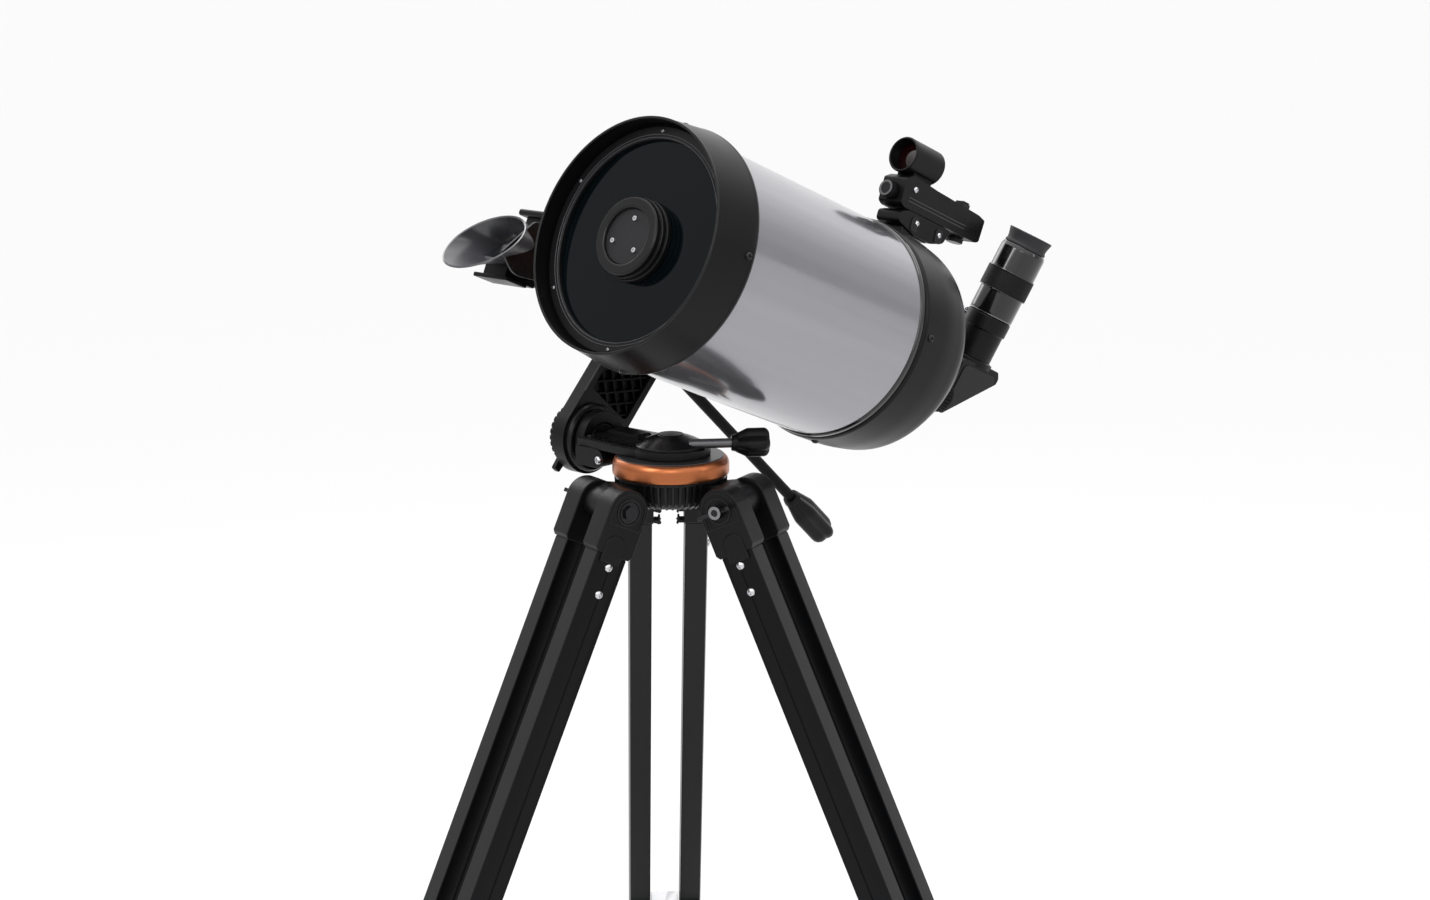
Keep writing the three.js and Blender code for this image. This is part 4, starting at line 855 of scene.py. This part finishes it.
def leg(i):
    base, spoke, n = LEGS[i], f"leg_{i + 1}", i + 1
    for side, word in ((1, "right"), (-1, "left")):
        body, trim, hook = cap(side)
        place(f"cap_{word}_{n}", join(body, hook), base, spoke, "casting", f"leg_cap_{word}_{n}", bevel=1.3,
              steps=3, slot="black_plastic")
        place(f"cap_trim_{word}_{n}", trim, base, spoke, "satin", bevel=0.25)
        heads = [aimed(scaled(PHILLIPS, 1.15), (0, 31.2 * side, z), (0, side, 0)) for z in (-43, -64)]
        place(f"rail_screws_{word}_{n}", join(*heads), base, spoke, "steel")
    bolt = aimed(join(prism([(5.8 * x, 5.8 * y) for x, y in HEXAGON], 0, 3.6), rod(8, -0.4, 0.5)),
                 (0, BOLT_SEAT, 0), (0, 1, 0))
    place(f"bolt_{n}", join(bolt, along_y(rod(3.8, -33, 33))), base, spoke, "dark_steel", bevel=0.4,
          slot="steel")
    place(f"wing_nut_{n}", aimed(WING, (0, -BOLT_SEAT, 0), (0, -1, 0)), base, spoke, "dark_steel",
          bevel=0.4, slot="steel")
    nut_ring = spun([(2.6, 5.6), (5.0, 5.6), (5.0, 6.9), (2.6, 6.9)], 0.4, 32)
    place(f"wing_ring_{n}", aimed(nut_ring, (0, -BOLT_SEAT, 0), (0, -1, 0)), base, spoke, "dull_steel")
    rails = join(*[prism(rail_section(s), -RAIL_END, -20.5) for s in (1, -1)])
    place(f"rails_{n}", rails, base, spoke, "black_alloy", f"upper_leg_{n}", bevel=0.35)
    faces = [prism(rectangle(x0, x1, *sorted((s * 13.5, s * 30.0))), -RAIL_END + 51, -34.4)
             for s in (1, -1) for x0, x1 in ((12.6, 13.5), (-13.5, -12.6))]
    place(f"rail_faces_{n}", join(*faces), base, spoke, "rail_face", bevel=0.25)
    clamp = carve(prism(rectangle(-17, 17, -34, 34, 4), -RAIL_END - 4, -RAIL_END + 56),
                  box(-12.3, 12.3, -12.3, 12.3, -640, -540))
    place(f"leg_clamp_{n}", carve(clamp, at(along_x(rod(4.3, 10, 30, 24)), z=-RAIL_END + 26)), base, spoke,
          "plastic", bevel=1.4, steps=3, slot="black_plastic")
    cross = join(along_y(prism(rectangle(-21, -12, -9, 9, 3), -30.8, 30.8)),
                 *[along_y(prism(rounded([(-36, -6), (-36, 6), (-12, 6), (-12, -6)], [5, 5, 0, 0]), y - 2.6,
                                 y + 2.6)) for y in (-9, 9)])
    place(f"brace_bracket_{n}", at(join(cross, at(along_y(rod(3, -11.5, 11.5)), x=BRACE_OFFSET)),
            z=-BRACE_DROP), base, spoke, "plastic", bevel=0.8, slot="black_plastic")
    shaft = carve(box(-11.7, 11.7, -11.7, 11.7, -LEG_LENGTH + 24, -LOWER_TOP),
                  *[box(x0, x1, -3, 3, -900, -100) for x0, x1 in ((11, 13), (-13, -11))])
    place(f"inner_leg_{n}", shaft, base, f"lower_{spoke}", "alloy", f"lower_leg_{n}", bevel=0.9)
    foot = -LEG_LENGTH
    ground = moved(box(-100, 100, -100, 100, -100, 0), move(z=foot) @ turn("Y", LEG_SPLAY))
    boot = spun([(0, foot - 18), (15, foot - 18), (17, foot), (16.6, foot + 22), (15, foot + 27),
                 (0, foot + 27)], [0, 0, 2, 2, 1, 0], 64)
    rings = [lathe([(14, z), (17.4, z - 0.8), (17.4, z - 2), (14, z - 2.8)], 64)
             for z in (foot + 22, foot + 18, foot + 14)]
    place(f"foot_{n}", join(carve(boot, ground), *rings), base, f"lower_{spoke}", "rubber", bevel=0.3)
    knob = join(prism(lobed(15, 4, 3, 20), 20, 33), rod(8.5, 17.5, 21), rod(4, 12.6, 22), rod(7, 32, 34))
    place(f"leg_knob_{n}", at(along_x(knob), z=-RAIL_END + 26), base, f"leg_lock_{n}", "plastic",
          f"leg_lock_{n}", bevel=1.0)
    brace = BRACES[i]
    end = -BRACE_LENGTH
    bar = carve(along_y(prism(rounded([(end + 8, -5), (0, -5), (0, 5), (end + 8, 5)], 1), -3, 3)),
                box(end + 20, -16, -1.6, 5, -2.6, 2.6))
    eye = carve(along_y(rod(6, -5, 5)), along_y(rod(3.3, -9, 9)))
    ring = along_y(tube(8.2, 12, -3, 3, 64))
    solid_bar = carve(bar, at(along_y(rod(8.2, -9, 9)), x=end))
    place(f"brace_{n}", join(solid_bar, eye, at(ring, x=end)), brace, f"brace_{n}", "black_alloy",
          f"brace_arm_{n}", bevel=0.5, slot="steel")


for number in range(3):
    leg(number)


def spreader():
    z = HUB_Z
    hub = [at(rod(11, -6, 6, 64), z=z)]
    pins = []
    for i in range(3):
        arm_turn = turn("Z", 90 + 120 * i)
        for y in (-6, 6):
            cheek = along_y(prism(rounded([(6, -6), (31, -6), (31, 6), (6, 6)], [0, 5, 5, 0]), y - 2,
                                  y + 2))
            hub.append(at(moved(cheek, arm_turn), z=z))
        pins.append(at(moved(at(along_y(rod(3, -8.6, 8.6)), x=26), arm_turn), z=z))
    place("spreader_hub", join(*hub), HEAD, "spreader", "plastic", "brace_hub", bevel=0.6)
    place("spreader_pins", join(*pins), HEAD, "spreader", "steel", bevel=0.3)
    rings, holes = [rod(10.6, 0, 4, 64)], []
    for i in range(3):
        out = turn("Z", 30 + 120 * i)
        rings += [moved(at(rod(23, 0, 4, 96), x=48), out), moved(box(0, 30, -7, 7, 0, 4), out)]
        holes.append(moved(at(rod(16.2, -2, 8, 96), x=48), out))
    tray = rings[0]
    for r in rings[1:]:
        tray = carve(tray, r, operation="UNION")
    place("tray", at(carve(tray, *holes), z=z + 6.3), HEAD, "spreader", "plastic", "accessory_tray",
          bevel=0.9)
    place("tray_nut", at(ribbed(7, 0.8, 20, 10.3, 14.6), z=z), HEAD, "spreader", "satin", bevel=0.3)


spreader()

# ---------------------------------------------------------------- floor, light, camera
bpy.ops.mesh.primitive_plane_add(size=160, location=(0, 0, 0))
floor = bpy.context.active_object
floor.name = "floor"
floor_finish = bpy.data.materials.new("floor")
floor_finish.use_nodes = True
floor_shader = floor_finish.node_tree.nodes["Principled BSDF"]
floor_shader.inputs["Base Color"].default_value = (0.62, 0.62, 0.62, 1)
floor_shader.inputs["Roughness"].default_value = 0.8
floor.data.materials.append(floor_finish)

world = bpy.data.worlds.new("studio")
bpy.context.scene.world = world
world.use_nodes = True
sky = world.node_tree.nodes["Background"]
sky_nodes, sky_links = world.node_tree.nodes, world.node_tree.links
height = sky_nodes.new("ShaderNodeSeparateXYZ")
sky_links.new(sky_nodes.new("ShaderNodeTexCoord").outputs["Generated"], height.inputs[0])
rise = sky_nodes.new("ShaderNodeMapRange")
rise.inputs["From Min"].default_value, rise.inputs["From Max"].default_value = 0.05, 0.9
rise.inputs["To Min"].default_value, rise.inputs["To Max"].default_value = 0.95, 1.8
sky_links.new(height.outputs["Z"], rise.inputs["Value"])
aside = sky_nodes.new("ShaderNodeMath")
aside.operation = "ABSOLUTE"
sky_links.new(height.outputs["X"], aside.inputs[0])
dim = sky_nodes.new("ShaderNodeMapRange")
dim.interpolation_type = "SMOOTHSTEP"
dim.inputs["From Min"].default_value, dim.inputs["From Max"].default_value = 0.6, 1.0
dim.inputs["To Min"].default_value, dim.inputs["To Max"].default_value = 1.0, 0.6
sky_links.new(aside.outputs[0], dim.inputs["Value"])
both = sky_nodes.new("ShaderNodeMath")
both.operation = "MULTIPLY"
sky_links.new(rise.outputs["Result"], both.inputs[0])
sky_links.new(dim.outputs["Result"], both.inputs[1])
backdrop = sky_nodes.new("ShaderNodeMath")
backdrop.operation = "MAXIMUM"
sky_links.new(both.outputs[0], backdrop.inputs[0])
sky_links.new(sky_nodes.new("ShaderNodeLightPath").outputs["Is Camera Ray"], backdrop.inputs[1])
sky_links.new(backdrop.outputs[0], sky.inputs["Strength"])
sky.inputs["Color"].default_value = (1, 1, 1, 1)


def softbox(name, location, target, size, power, colour=(1, 1, 1)):
    data = bpy.data.lights.new(name, "AREA")
    data.shape, data.energy, data.color = "RECTANGLE", power, colour
    data.size, data.size_y = size
    lamp = bpy.data.objects.new(name, data)
    bpy.context.scene.collection.objects.link(lamp)
    lamp.location = location
    lamp.rotation_euler = (Vector(target) - Vector(location)).to_track_quat("-Z", "Y").to_euler()
    return lamp


CENTRE = (0.0, 0.0, 0.85)
softbox("key", (-1.6, -1.5, 2.5), CENTRE, (0.8, 0.8), 16)
softbox("front", (-0.1, -2.3, 2.0), CENTRE, (0.9, 0.6), 5)
softbox("top", (0.5, 0.2, 2.9), CENTRE, (1.8, 0.5), 14)
softbox("side", (2.2, -0.9, 1.9), CENTRE, (0.3, 1.2), 3)
softbox("back", (-1.2, 2.0, 1.9), CENTRE, (1.2, 1.0), 9)

camera_data = bpy.data.cameras.new("camera")
camera = bpy.data.objects.new("camera", camera_data)
bpy.context.scene.collection.objects.link(camera)
camera.location = HEAD @ Vector((-67.6, -1952.5, 425.7))
camera.rotation_euler = Vector((0.0691, 0.9733, -0.2191)).to_track_quat("-Z", "Y").to_euler()
camera_data.sensor_width = 36
camera_data.lens = 66.95
camera_data.shift_x, camera_data.shift_y = -0.035, 0.0171
camera_data.clip_end = 60
bpy.context.scene.camera = camera
bpy.context.scene.view_settings.view_transform = "Standard"
